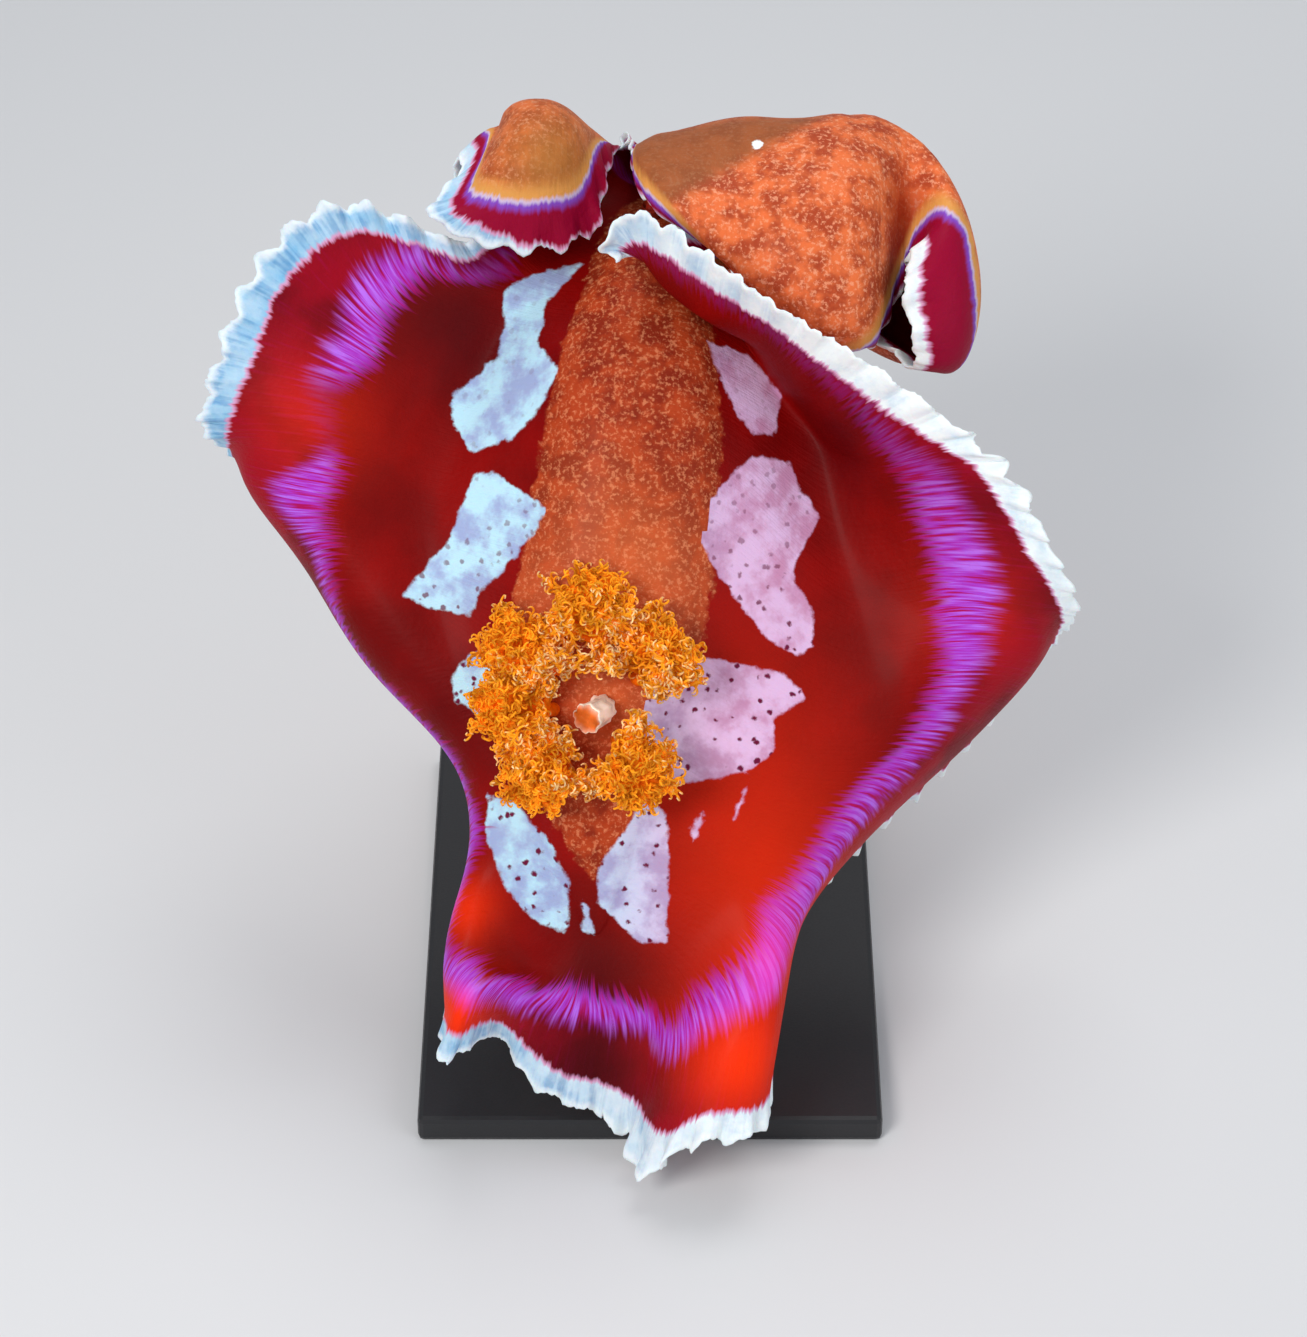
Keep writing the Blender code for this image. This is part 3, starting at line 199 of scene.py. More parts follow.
# Lights: place in metres, size, power in watts and colour, all aimed at one point
LIT_POINT = (0, 0, 0.12)
LIGHTS = [("key", (-0.55, -0.85, 0.95), 0.5, 9.5, (1, 0.98, 0.95)),
          ("fill", (0.9, -0.7, 0.5), 0.9, 3.0, (0.92, 0.96, 1)),
          ("top", (0.15, 0.35, 1.1), 0.7, 4.0, (1, 1, 1))]
SKY = (0.80, 0.84, 0.90, 1)
SKY_STRENGTH = 0.5
FLOOR_REACH = 40.0
FLOOR_ROUGH = 0.8

# Gills: where each grows and where its plume's middle is, then the sizes of its parts, in mm
GILL_SITES = [
    ((-6, 7), (-20, 14, 19)),
    ((3, 12), (0, 25, 22)),
    ((12, 8), (19, 13, 18)),
    ((-9, -2), (-21, -2, 21)),
    ((-5, -11), (-13, -20, 18)),
    ((7, -9), (12, -18, 22)),
]
GILL_SEED = 60
GILL_BRANCHES = 26
BRANCH_LENGTH = 13.0
TWIGS = 9
TWIG_LENGTH = 5.0
FILAMENTS = 6
FILAMENT_LENGTH = 4.4
FILAMENT_CURL = 3.4              # radians that a filament turns through on its way to its tip
PLUME_REACH = 13.5               # how far a plume spreads from its middle
PALE_FROM = 0.40                 # the share of that beyond which its tips turn pale

# Each kind of branch of a gill: its radii from root to tip, its sides, and how pale it is at each end
TRUNK = ([1.9, 1.5, 1.4, 1.1], 12, 0.0, 0.1)
BRANCH = ([1.0, 0.85, 0.6, 0.35], 7, 0.0, 0.35)
TWIG = ([0.6, 0.5, 0.4, 0.25], 5, 0.2, 0.55)
FILAMENT = ([0.3, 0.3, 0.28, 0.16], 5, 0.3, 1.0)

# The papilla: radii of its tube at shares of its length, then how far beyond its end each ring of its
# mouth lies, the ring's radius and how near the colour is to the mouth's
PAPILLA_TUBE = [(0, 3.9), (0.2, 3.4), (0.6, 3.1), (0.9, 3.3), (1, 3.8)]
PAPILLA_LIPS = [(0.4, 3.5, 0.75), (0.3, 2.9, 0.9), (-1.5, 2.3, 1.0), (-4.0, 1.6, 1.0)]
PAPILLA_RINGS = 18
PAPILLA_SIDES = 48
PLEATS = [(8, 0.07, 0), (17, 0.03, 1)]    # how many go round it, how deep they are and where they start

# The rhinophore's rings: radius, height and how near the colour is to its plates' edges
SHEATH = [(3.0, -1.0, 0.0), (2.7, 0.6, 0.0), (2.5, 1.8, 0.1), (2.6, 2.3, 0.1), (2.3, 2.5, 0.1),
          (1.9, 1.6, 0.1), (1.4, 1.6, 0.2), (1.3, 3.0, 0.3)]
CLUB_TIP = [(0.55, 10.0, 0.7), (0.5, 10.6, 0.9), (0.2, 10.9, 1.0)]
CLUB_START = 3.0                 # above this the rings slant
CLUB_RADIUS = 2.1
CLUB_SIDES = 32

# The club's plates: how many, between which heights, and each one's rings: the share of the club's
# radius there, the height above its foot and the colour
PLATES = 17
PLATES_START = 3.4
PLATES_RUN = 6.4
PLATE_RINGS = [(0.72, 0.0, 0.4), (1.0, 0.16, 0.9), (0.97, 0.24, 0.9)]

# Lips: how far forward of the head's middle and how deep they lie, their ring's radius and its shares
# across and up, their thickness, their folds' number and depth, and the points round ring and lip
LIPS_SITE = (6.8, -10.6)
LIPS_RADIUS = 2.7
LIPS_OVAL = (1.25, 0.8)
LIPS_THICK = 1.15
LIPS_FOLDS = (9, 0.14)
LIPS_POINTS = (64, 16)

# Oral lobes: each ring's reach, half width and half thickness, then the fingers. Where two numbers are
# given they are the middle finger's, and how much less the outermost have
LOBE_RINGS = [(-1, 3.4, 2.4), (3, 4.2, 2.4), (6, 5.0, 2.1), (9, 6.0, 1.8), (12, 6.6, 1.5), (14, 6.3, 1.1),
              (15, 5.4, 0.6)]
LOBE_SIDES = 28
LOBE_FINGERS = 7
FINGER_ROOTS = (11.0, 1.5)
FINGER_LENGTHS = (10.0, 2.6)
FINGER_SPREAD = 5.0              # how far to the side the outermost grow
FINGER_FAN = 0.6                 # how far they point to the side, against 1 ahead
FINGER_RADII = [(0, 1.35), (0.5, 1.15), (0.85, 0.85), (1, 0.4)]

# What the colours read on the head, as on flesh far from the rim
FUSED_VALUES = {"from_rim": 60.0, "past_fringe": 60.0, "under_run": 60.0, "sole": 0.4}

# White patches on the back: outlines in mm, x and y of the animal's frame
PATCHES = [
    [(-2, 110), (-15, 108), (-22, 103), (-22, 94), (-24, 86), (-35, 77), (-35, 71), (-30, 62), (-18, 66),
     (-11, 75), (-8, 82), (-13, 90), (-11, 100)],
    [(-29, 57), (-24, 57), (-10, 47), (-18, 36), (-27, 27), (-30, 21), (-41, 23), (-47, 26), (-35, 41)],
    [(-23, 15), (-30, 12), (-35, 5), (-33, -1), (-26, -5), (-14, 4)],
    [(29, 90), (41, 86), (48, 77), (46, 66), (40, 67), (35, 74)],
    [(40, 61), (50, 60), (52, 54), (58, 46), (52, 36), (51, 30), (56, 22), (56, 13), (51, 11), (43, 17),
     (34, 28), (26, 42), (28, 47), (36, 57)],
    [(14, 12), (39, 9), (49, 6), (54, 1), (46, -5), (46, -13), (41, -17), (30, -20), (19, -21), (10, -8)],
    [(-26, -24), (-26, -35), (-22, -46), (-15, -55), (-6, -59), (-5, -46), (-10, -36), (-18, -26)],
    [(14, -24), (19, -28), (20, -40), (19, -61), (12, -61), (2, -51), (2, -42), (8, -34)],
    [(28, -28), (30, -28), (27, -34), (24, -37), (25, -32)],
    [(39, -18), (40, -19), (38, -26), (36, -30), (37, -23)],
    [(-2, -50), (0, -52), (1, -59), (-2, -58)],
]
PATCH_RIGHT_END = 127            # ring stations between which patches lie, in degrees
PATCH_LEFT_START = 222
PATCH_HEIGHT = 9.0               # above this the mantle has turned away and has none
DOTS_FADE = [(-80, 1.0), (15, 1.0), (40, 0.55), (75, 0.2), (120, 0.15)]    # strength of their dots, by y

# Painted light and shade: spots where light glows through thin places, and spots of painted shade: middle and
# reach in mm, and strength
GLOWS = [((38, -90), 16, 1.0), ((-34, -78), 10, 1.0), ((-70, 70), 15, 0.35), ((44, -45), 26, 0.5),
         ((48, -66), 13, 0.6), ((-32, -52), 9, 0.8), ((96, 22), 14, 0.3), ((30, -10), 30, 0.25)]
SHADES = [((3, -70), 14, 0.8), ((2, -95), 15, 1.0), ((-82, 99), 12, 0.5), ((-30, 92), 15, 0.8),
          ((-38, 4), 12, 0.4), ((60, 66), 14, 0.5)]

# Painted glow of light on the brown strip, where it is at its brightest and where it lifts the gills' shade
# round the papilla, in the same way
STRIP_GLOWS = [((10, 31), 18, 1.0), ((-8, 22), 14, 0.8), ((2, 52), 12, 0.25), ((5, 0), 12, 1.0)]

# Where the scroll's underside is golden, in the same way
GOLDS = [((-8, 132), 15, 0.85)]

# The purple band: station, its outer and inner edge in mm from the rim, and how strong it is
BAND = [(0, 25, 35, 1.0), (6, 29, 38, 1.0), (12, 32, 40, 0.9), (20, 31, 41, 1.0), (33, 35, 48, 1.0),
        (53, 40, 50, 0.9), (65, 41, 52, 0.9), (76, 46, 54, 0.9), (84, 44, 53, 1.0), (88, 41, 52, 1.0),
        (96, 24, 39, 1.0), (100, 20, 34, 0.9), (105, 18, 31, 0.7), (111, 15, 23, 0.35), (117, 10, 14, 0.2),
        (150, 8, 12, 0.1), (170, 17, 27, 0.3), (200, 20, 30, 0.45), (238, 8, 14, 0.3), (242, 8, 15, 0.9),
        (247, 17, 29, 1.0), (254, 27, 39, 1.0), (259, 25, 34, 0.9), (262, 25, 31, 0.1), (267, 33, 36, 0.1),
        (269, 34, 39, 0.9), (273, 32, 47, 1.0), (284, 38, 44, 0.9), (295, 28, 36, 0.8), (318, 26, 33, 0.9),
        (326, 29, 37, 1.0), (340, 18, 27, 1.0), (345, 15, 25, 1.0), (350, 17, 25, 1.0), (356, 21, 31, 1.0),
        (360, 25, 35, 1.0)]

# The underside's rim: station, then the widths of its white fringe and of its crimson band in mm
UNDER_RIM = [(0, 5, 4), (150, 5, 4), (160, 4, 5), (164, 3.5, 16), (170, 4.5, 14), (173, 6, 7), (177, 2, 4),
             (186, 2, 3), (200, 1.5, 3), (207, 0.5, 8), (218, 0.8, 11), (221, 4, 7), (226, 6, 4),
             (232, 5, 4), (240, 5, 4), (360, 5, 4)]

# The upper side's fringe: station and its width in mm
FRINGE = [(0, 8), (6, 9), (12, 13), (16, 8), (32, 7), (60, 5), (88, 5.5), (100, 8), (120, 8.5), (142, 9),
          (150, 5), (170, 4), (205, 2), (235, 4), (242, 6.5), (252, 8), (262, 8), (270, 6), (300, 5),
          (344, 7), (360, 8)]

# How far the brown strip's edge lies inside the body's side, by y, in mm
STRIP_INSET = [(-62, 16), (-50, 12), (-38, 7), (-26, 2.5), (-16, 0), (120, 0)]

# The hood's underside: its back lobe, painted darker with shade, lies left of this line, and the white spot
# on it
HOOD_CREASE = ((14, 119), (56, 146))
HOOD_START = (8, 105)            # the least x and y of the hood
HOOD_SPOT = ((42, 139), 2.6)
HOOD_FADE = 3                    # mm over which the lobe's painted shade fades out at that line
HOOD_CREST = (-26, -14)          # depths between which the hood's painted shade and its white spot fade out behind its crest

# The hollow between hood and cup, where the underside is painted with shade: its middle and its reach each
# way
HOOD_HOLLOW_SHADE = np.array([(77, 112, -10), (11, 27, 13)], float)

# Colours, linear
FIELD_DARK = (0.130, 0.0004, 0.0004, 1)
FIELD_RED = (0.280, 0.0012, 0.0006, 1)
SHADE_MAROON = (0.050, 0.0002, 0.0020, 1)
GLOW_RED = (0.930, 0.0320, 0.0010, 1)
CRIMSON = (0.320, 0.0006, 0.0120, 1)
CRIMSON_DEEP = (0.170, 0.0003, 0.0060, 1)
MAGENTA = (0.430, 0.0040, 0.1000, 1)
# painted pink glow of light on the purple band
BAND_GLOW_PINK = (0.900, 0.0600, 0.4600, 1)
PURPLE = (0.420, 0.0350, 0.5600, 1)
LILAC = (0.500, 0.1600, 0.8500, 1)
FRINGE_WHITE = (0.900, 0.9500, 0.9600, 1)
# painted blue light on the fringe's left side
FRINGE_BLUE_LIGHT = (0.170, 0.4600, 0.7200, 1)
FRINGE_SHADE = (0.080, 0.2700, 0.5400, 1)
FRINGE_PINK = (0.680, 0.3200, 0.5200, 1)
STRIP_BROWN = (0.250, 0.0200, 0.0060, 1)
STRIP_ORANGE = (0.450, 0.0520, 0.0120, 1)
# painted glow of light on the brown strip
STRIP_GLOW = (0.760, 0.1700, 0.0500, 1)
STRIP_FLECK = (0.860, 0.3100, 0.1400, 1)
# painted blue light on the patches' left side
PATCH_BLUE_LIGHT = (0.360, 0.4400, 0.7000, 1)
PATCH_PINK = (0.580, 0.2700, 0.4500, 1)
# paler painted blue light on the patches' left side
PATCH_PALE_BLUE_LIGHT = (0.520, 0.8000, 0.9400, 1)
PATCH_BLUSH = (0.740, 0.4900, 0.7400, 1)
PATCH_DOT = (0.150, 0.0060, 0.0400, 1)
UNDER_TAN = (0.800, 0.1700, 0.0500, 1)
UNDER_BROWN = (0.420, 0.0600, 0.0200, 1)
# painted shade on the hood's back lobe
UNDER_LOBE_SHADE = (0.280, 0.0900, 0.0300, 1)
# painted shade in the hollow between hood and cup
UNDER_HOLLOW_SHADE = (0.340, 0.0300, 0.0060, 1)
UNDER_GOLD = (0.400, 0.1600, 0.0340, 1)
UNDER_FLECK = (0.860, 0.3600, 0.2000, 1)
UNDER_YELLOW = (0.740, 0.3300, 0.0800, 1)
UNDER_LILAC = (0.640, 0.5200, 0.7200, 1)
UNDER_VIOLET = (0.240, 0.0700, 0.5200, 1)
UNDER_CRIMSON = (0.300, 0.0010, 0.0280, 1)
SOLE = (0.700, 0.2200, 0.1000, 1)
SHADE_DEPTH = 0.85
UNDER_EDGE = [(3.5, 9.0, UNDER_YELLOW), (2.0, 3.6, UNDER_LILAC), (1.0, 2.4, UNDER_VIOLET),
              (-1.5, 1.2, UNDER_CRIMSON)]    # where each ends, in mm inside the crimson band's inner edge
GILL_DEEP = (0.900, 0.1500, 0.0015, 1)
GILL_ORANGE = (0.970, 0.3500, 0.0120, 1)
GILL_TIP = (0.990, 0.6800, 0.3400, 1)
GILL_COLOURS = [(0.0, GILL_DEEP), (0.35, GILL_ORANGE), (0.6, GILL_ORANGE), (0.95, GILL_TIP)]
GILL_GLOW = 0.10                 # light that comes through the thin filaments
PAPILLA_PALE = (0.960, 0.8600, 0.7200, 1)
PAPILLA_MOUTH = (0.800, 0.1500, 0.0200, 1)
PAPILLA_COLOURS = [(0.0, STRIP_ORANGE), (0.12, PAPILLA_PALE), (0.68, PAPILLA_PALE), (0.8, PAPILLA_MOUTH)]
PAPILLA_GLOW = 0.18
RHINOPHORE_RED = (0.360, 0.0200, 0.0120, 1)
RHINOPHORE_COLOURS = [(0.0, STRIP_BROWN), (0.4, RHINOPHORE_RED), (0.95, STRIP_ORANGE)]

# The moist, slightly see-through finish of all its flesh
WET = {"Roughness": 0.55, "Specular IOR Level": 0.08, "Coat Weight": 0.02, "Coat Roughness": 0.2,
       "Subsurface Weight": 0.15, "Subsurface Radius": (1.0, 0.25, 0.12), "Subsurface Scale": 0.002}

BASE_BLACK = (0.012, 0.0120, 0.0140, 1)
ROD_STEEL = (0.560, 0.5700, 0.5800, 1)
FLOOR_PALE = (0.700, 0.7050, 0.7150, 1)


# Shapes shared with the solids

def place(points):
    """Turn points of the animal's frame in mm into world metres."""
    p = np.asarray(points, float)
    lean = math.radians(LEAN_DEG)
    x = p[..., 0] + CARRY[0]
    y = p[..., 1] * math.sin(lean) - p[..., 2] * math.cos(lean) + CARRY[1]
    z = p[..., 1] * math.cos(lean) + p[..., 2] * math.sin(lean) + CARRY[2]
    return np.stack([x, y, z], axis=-1) * MM


def unit(vectors):
    return vectors / np.maximum(np.linalg.norm(vectors, axis=-1, keepdims=True), 1e-9)


def flow(knots, t, closed=False):
    """A smooth curve through the knots, at knot numbers t that may be fractions."""
    knots = np.asarray(knots, float)
    t = np.asarray(t, float)
    count = len(knots)
    if closed:
        first = np.floor(t).astype(int)
        p0, p1, p2, p3 = [knots[(first + k) % count] for k in (-1, 0, 1, 2)]
    else:
        first = np.clip(np.floor(t).astype(int), 0, count - 2)
        ends = np.concatenate([2 * knots[:1] - knots[1:2], knots, 2 * knots[-1:] - knots[-2:-1]])
        p0, p1, p2, p3 = [ends[first + k] for k in range(4)]
    share = (t - first).reshape((-1,) + (1,) * (knots.ndim - 1))

    def span(a, b):
        return np.maximum(np.sqrt(np.linalg.norm(b - a, axis=-1, keepdims=True)), 1e-6)

    d1, d2, d3 = span(p0, p1), span(p1, p2), span(p2, p3)
    m1 = d2 * ((p1 - p0) / d1 - (p2 - p0) / (d1 + d2) + (p2 - p1) / d2)
    m2 = d2 * ((p2 - p1) / d2 - (p3 - p1) / (d2 + d3) + (p3 - p2) / d3)
    s2 = share * share
    s3 = s2 * share
    return (2 * s3 - 3 * s2 + 1) * p1 + (s3 - 2 * s2 + share) * m1 + (3 * s2 - 2 * s3) * p2 + (s3 - s2) * m2


def on_line(at, marks, points):
    """Points on a polyline, whose own points lie at the marks."""
    return np.stack([np.interp(at, marks, points[:, k]) for k in range(3)], axis=-1)


def even(points, shares):
    """Points at the given shares of a polyline's length."""
    steps = np.linalg.norm(np.diff(points, axis=0), axis=1)
    run = np.concatenate([[0], np.cumsum(steps)])
    return on_line(np.asarray(shares) * run[-1], run, points)


SPINE_CURVE = flow(SPINE, np.linspace(0, len(SPINE) - 1, SPINE_STEPS))
SPINE_LINE = even(SPINE_CURVE, np.linspace(0, 1, SPINE_STEPS + 1))
SPINE_LENGTH = float(np.linalg.norm(np.diff(SPINE_LINE, axis=0), axis=1).sum())


def spine_point(shares):
    return on_line(shares, np.linspace(0, 1, len(SPINE_LINE)), SPINE_LINE)


def spine_frame(shares):
    """Points on the spine with the forward, right and back (dorsal) directions there."""
    shares = np.asarray(shares, float)
    step = 0.01
    forward = unit(spine_point(np.minimum(shares + step, 1)) - spine_point(np.maximum(shares - step, 0)))
    back = unit(np.array([0, 0, 1.0]) - forward[..., 2:] * forward)
    return spine_point(shares), forward, np.cross(forward, back), back


def station_share(degrees):
    return 0.5 - 0.5 * np.cos(np.radians(degrees))


def side_width(degrees):
    """How far the body's side lies from the spine, signed, at stations round the body."""
    half = np.interp(station_share(degrees), np.linspace(0, 1, len(HALF_WIDTHS)), HALF_WIDTHS)
    return np.sin(np.radians(degrees)) * half


def belly_depth(degrees):
    return -WALL_BOTTOM + BELLY * np.abs(side_width(degrees))


def side_point(degrees):
    centre, _, right, _ = spine_frame(station_share(degrees))
    return centre + right * side_width(degrees)[..., None]


def root_frames(stations):
    """Root points of the mantle on the body's side, with the outward and back directions."""
    corners = np.arange(0, FULL_TURN + 1, RING_STEP_DEG)
    line = side_point(corners)
    backs = spine_frame(station_share(corners))[3]
    point = on_line(stations, corners, line)
    back = unit(on_line(stations, corners, backs))
    step = 1.5
    out = unit(np.cross(side_point(stations + step) - side_point(stations - step), back))
    return point + out * (GAP + BEND_ROOM / 3), out, back


def rib_curves():
    """Every rib as evenly spaced points at the rows' shares of its length."""
    stations = np.array([rib[1] for rib in RIBS], float)
    roots, outs, _ = root_frames(stations)
    curves = []
    for rib, root, out in zip(RIBS, roots, outs):
        knots = [root - out * RIB_LEAD, root] + [np.array(knot, float) for knot in rib[2:]]
        line = flow(knots, np.linspace(1, len(knots) - 1, RIB_STEPS))
        curves.append(even(line, ROWS))
    return stations, np.array(curves)


def mantle_columns(curves):
    """Where the solids' columns lie, as rib numbers with fractions."""
    columns = []
    for k in range(len(RIBS)):
        ends = (curves[(k + 1) % len(RIBS), -1], curves[k, -1])
        count = max(1, round(float(np.linalg.norm(ends[0] - ends[1])) / STATION_LENGTH))
        columns += [k + part / (2 * count) for part in range(2 * count)]
    return np.array(columns)


def solid_mantle():
    """The middle surface and half thickness of the solids' mantle, with each column's station."""
    stations, curves = rib_curves()
    columns = mantle_columns(curves)
    grid = np.stack([flow(curves[:, row], columns, closed=True) for row in range(len(ROWS))], axis=1)
    grid = smoothed(grid, SMOOTHING)
    round_trip = np.append(stations, stations[0] + FULL_TURN)
    degrees = np.interp(columns, np.arange(len(RIBS) + 1), round_trip)
    roots, _, backs = root_frames(degrees % FULL_TURN)
    ease = np.clip(1 - np.array(ROWS) / ROOT_EASE, 0, 1)[None, :, None]
    grid += (roots - grid[:, 0])[:, None, :] * ease
    normals = surface_normals(grid)
    normals[:, 0] = backs
    half = 0.5 * np.interp(ROWS, [0, 0.5, 1], [ROOT_THICK, MIDDLE_THICK * ROOT_THICK, RIM_THICK])
    return grid, np.minimum(half, bend_limit(grid, normals)), degrees


def smoothed(values, passes):
    """Values round the body, evened out with those beside them."""
    for _ in range(passes):
        values = 0.5 * values + 0.25 * (np.roll(values, 1, axis=0) + np.roll(values, -1, axis=0))
    return values


def bend_limit(grid, normals):
    """The greatest half thickness that a point's tightest bend leaves room for."""
    limit = np.full(grid.shape[:2], ROOT_THICK)
    for axis, step in ((0, 1), (0, -1), (0, 2), (0, -2), (1, 1), (1, -1)):
        reach = np.linalg.norm(np.roll(grid, step, axis=axis) - grid, axis=2)
        turn = np.linalg.norm(np.roll(normals, step, axis=axis) - normals, axis=2)
        room = FOLD_SHARE * reach / np.maximum(turn, 1e-3)
        if axis == 1:
            room[:, 0 if step == 1 else -1] = ROOT_THICK
        limit = np.minimum(limit, room)
    limit = np.maximum(limit, THINNEST / 2)
    for step in (-2, -1, 1, 2):
        limit = np.minimum(limit, THIN_SPREAD * np.roll(limit, step, axis=0))
    return limit


def surface_normals(grid, passes=3):
    around = np.roll(grid, -1, axis=0) - np.roll(grid, 1, axis=0)
    outward = np.gradient(grid, axis=1)
    normals = unit(np.cross(outward, around))
    for _ in range(passes):
        normals = unit(2 * normals + np.roll(normals, 1, axis=0) + np.roll(normals, -1, axis=0))
    return normals


# The skin

def ripple(run, waves, seed):
    """A wandering sum of waves along a run in mm: each wave is its length and its height."""
    dice = np.random.default_rng(seed)
    slower, middle, span = SWELL
    total = np.zeros(len(run))
    for length, height in waves:
        wander = sum(np.sin(run / (length * slow) + dice.uniform(0, 6.3)) for slow in WANDER)
        swell = middle + span * np.sin(run / (slower * length) + dice.uniform(0, 6.3))
        total += height * swell * np.sin(2 * math.pi * run / length + WANDER_TURN * wander)
    return total


def fine_mantle():
    """The mantle's middle surface at the skin's fineness, with its half thickness and stations."""
    coarse, half, degrees = solid_mantle()
    last = len(ROWS) - 1
    steps = np.arange(len(coarse) * COLUMN_SPLIT) / COLUMN_SPLIT
    rows = np.concatenate([k + np.arange(split) / split for k, split in enumerate(ROW_SPLIT)] + [[last]])
    grid = np.stack([flow(coarse[:, row], steps, closed=True) for row in range(len(ROWS))], axis=0)
    grid = np.swapaxes(flow(grid, rows), 0, 1)
    columns = np.arange(len(coarse) + 1)
    stations = np.interp(steps, columns, np.append(degrees, degrees[0] + FULL_TURN))
    round_trip = np.vstack([half, half[:1]])
    thick = np.stack([np.interp(steps, columns, line) for line in round_trip.T], axis=1)
    thick = np.array([np.interp(rows, np.arange(len(ROWS)), line) for line in thick])
    return grid, thick, stations


def to_rim(grid):
    """Distance of each point from the rim along its column, and each column's run along the rim."""
    reach = np.linalg.norm(np.diff(grid, axis=1), axis=2)
    left = np.concatenate([np.cumsum(reach[:, ::-1], axis=1)[:, ::-1], np.zeros((len(grid), 1))], axis=1)
    along = np.linalg.norm(np.diff(grid[:, -1], axis=0), axis=1)
    return left, np.concatenate([[0], np.cumsum(along)])


def frill(grid, thick):
    """Ruffle the rim and vary its reach, less where the rim bends tightly."""
    left, along = to_rim(grid)
    normals = surface_normals(grid, passes=12)
    outward = unit(grid[:, -1] - grid[:, -4])
    turn = np.linalg.norm(np.roll(outward, -12, axis=0) - np.roll(outward, 12, axis=0), axis=1)
    full = np.clip(1.4 - turn, 0.15, 1) * np.minimum(1, left[:, 0] / FRILL_ROOM)
    full = smoothed(full, passes=6)
    ramp = np.clip(1 - left / FRILL_DEPTH, 0, 1)
    side = ripple(along, FRILL_SWAY, FRILL_SEEDS[0]) * full
    reach = ripple(along, FRILL_REACH, FRILL_SEEDS[1]) * full
    grid = grid + normals * (side[:, None] * ramp ** 1.4)[..., None]
    grid = grid + outward[:, None] * (reach[:, None] * ramp ** 2)[..., None]
    edge = np.clip(left / RIM_ROUND, 0, 1)
    return grid, thick * np.sqrt(RIM_LEFT + (1 - RIM_LEFT) * edge * (2 - edge)), left, along


def body_profiles(stations):
    """The back from near its middle out to the side, and the belly and foot from the side in."""
    round_by = stations % FULL_TURN
    centre, _, right, back = spine_frame(station_share(round_by))
    signed = side_width(round_by)
    wide = np.abs(signed)
    right = right * np.where(signed < 0, -1, 1)[:, None]

    def profile(shape):
        return np.stack([centre + right * x[:, None] + back * z[:, None] for x, z in shape], axis=1)

    inner = np.arccos(np.minimum(0.35, MIDDLE_GAP / np.maximum(wide, 0.5)))
    turns = [inner * (1 - k / BACK_ROWS) for k in range(BACK_ROWS)]
    back_shape = [(wide * np.cos(turn), WALL_TOP + HUMP * wide * np.sin(turn)) for turn in turns]
    depth = belly_depth(round_by)
    first, last = FOOT_RANGE
    along = (np.minimum(round_by, FULL_TURN - round_by) - first) / (last - first)
    inside = np.clip(np.minimum(along, 1 - along) / 0.03, 0, 1)
    taper = np.sqrt(np.maximum(np.sin(math.pi * np.clip(along, 0, 1)), 0.06))
    sole = FOOT_WIDTH * wide * taper
    thick = FOOT_THICK * (0.5 + 0.5 * taper) * inside
    belly = [(share * wide, wall * WALL_BOTTOM - deep * depth) for share, wall, deep in BELLY_SHAPE]
    belly.append((0.5 * (BELLY_WIDTH * wide + 0.8 * sole), -depth))
    belly += [(share * sole, -depth - down * thick) for share, down in FOOT_SHAPE]
    belly.append((np.minimum(MIDDLE_GAP, 0.08 * wide), -depth - FOOT_SHAPE[-1][1] * thick))
    return profile(back_shape), profile(belly)


def soften(points, first, last, passes):
    """Smooth a row of profile points between two of them."""
    points = points.copy()
    for _ in range(passes):
        beside = points[:, first - 1:last - 1] + points[:, first + 1:last + 1]
        points[:, first:last] = 0.25 * beside + 0.5 * points[:, first:last]
    return points


def patch_depth(points):
    """How far points lie inside the nearest patch's outline, in mm, negative outside."""
    best = np.full(len(points), -FAR)
    for outline in PATCHES:
        corners = np.array(outline, float)
        ends = np.roll(corners, -1, axis=0)
        nearest = np.full(len(points), FAR)
        inside = np.zeros(len(points), bool)
        for a, b in zip(corners, ends):
            step = b - a
            share = np.clip(((points - a) @ step) / (step @ step), 0, 1)
            nearest = np.minimum(nearest, np.linalg.norm(points - a - share[:, None] * step, axis=1))
            crosses = (a[1] > points[:, 1]) != (b[1] > points[:, 1])
            slope = np.where(crosses, (points[:, 1] - a[1]) / (step[1] if step[1] else 1e-9), 0)
            inside ^= crosses & (points[:, 0] < a[0] + slope * step[0])
        best = np.maximum(best, np.where(inside, nearest, -nearest))
    return best


def zipped(first, second, first_run, second_run):
    """Triangles between two rows of points that run the same way."""
    faces = []
    i = j = 0
    while i < len(first) - 1 or j < len(second) - 1:
        if j == len(second) - 1 or (i < len(first) - 1 and first_run[i + 1] <= second_run[j + 1]):
            faces.append((first[i], first[i + 1], second[j]))
            i += 1
        else:
            faces.append((first[i], second[j + 1], second[j]))
            j += 1
    return faces


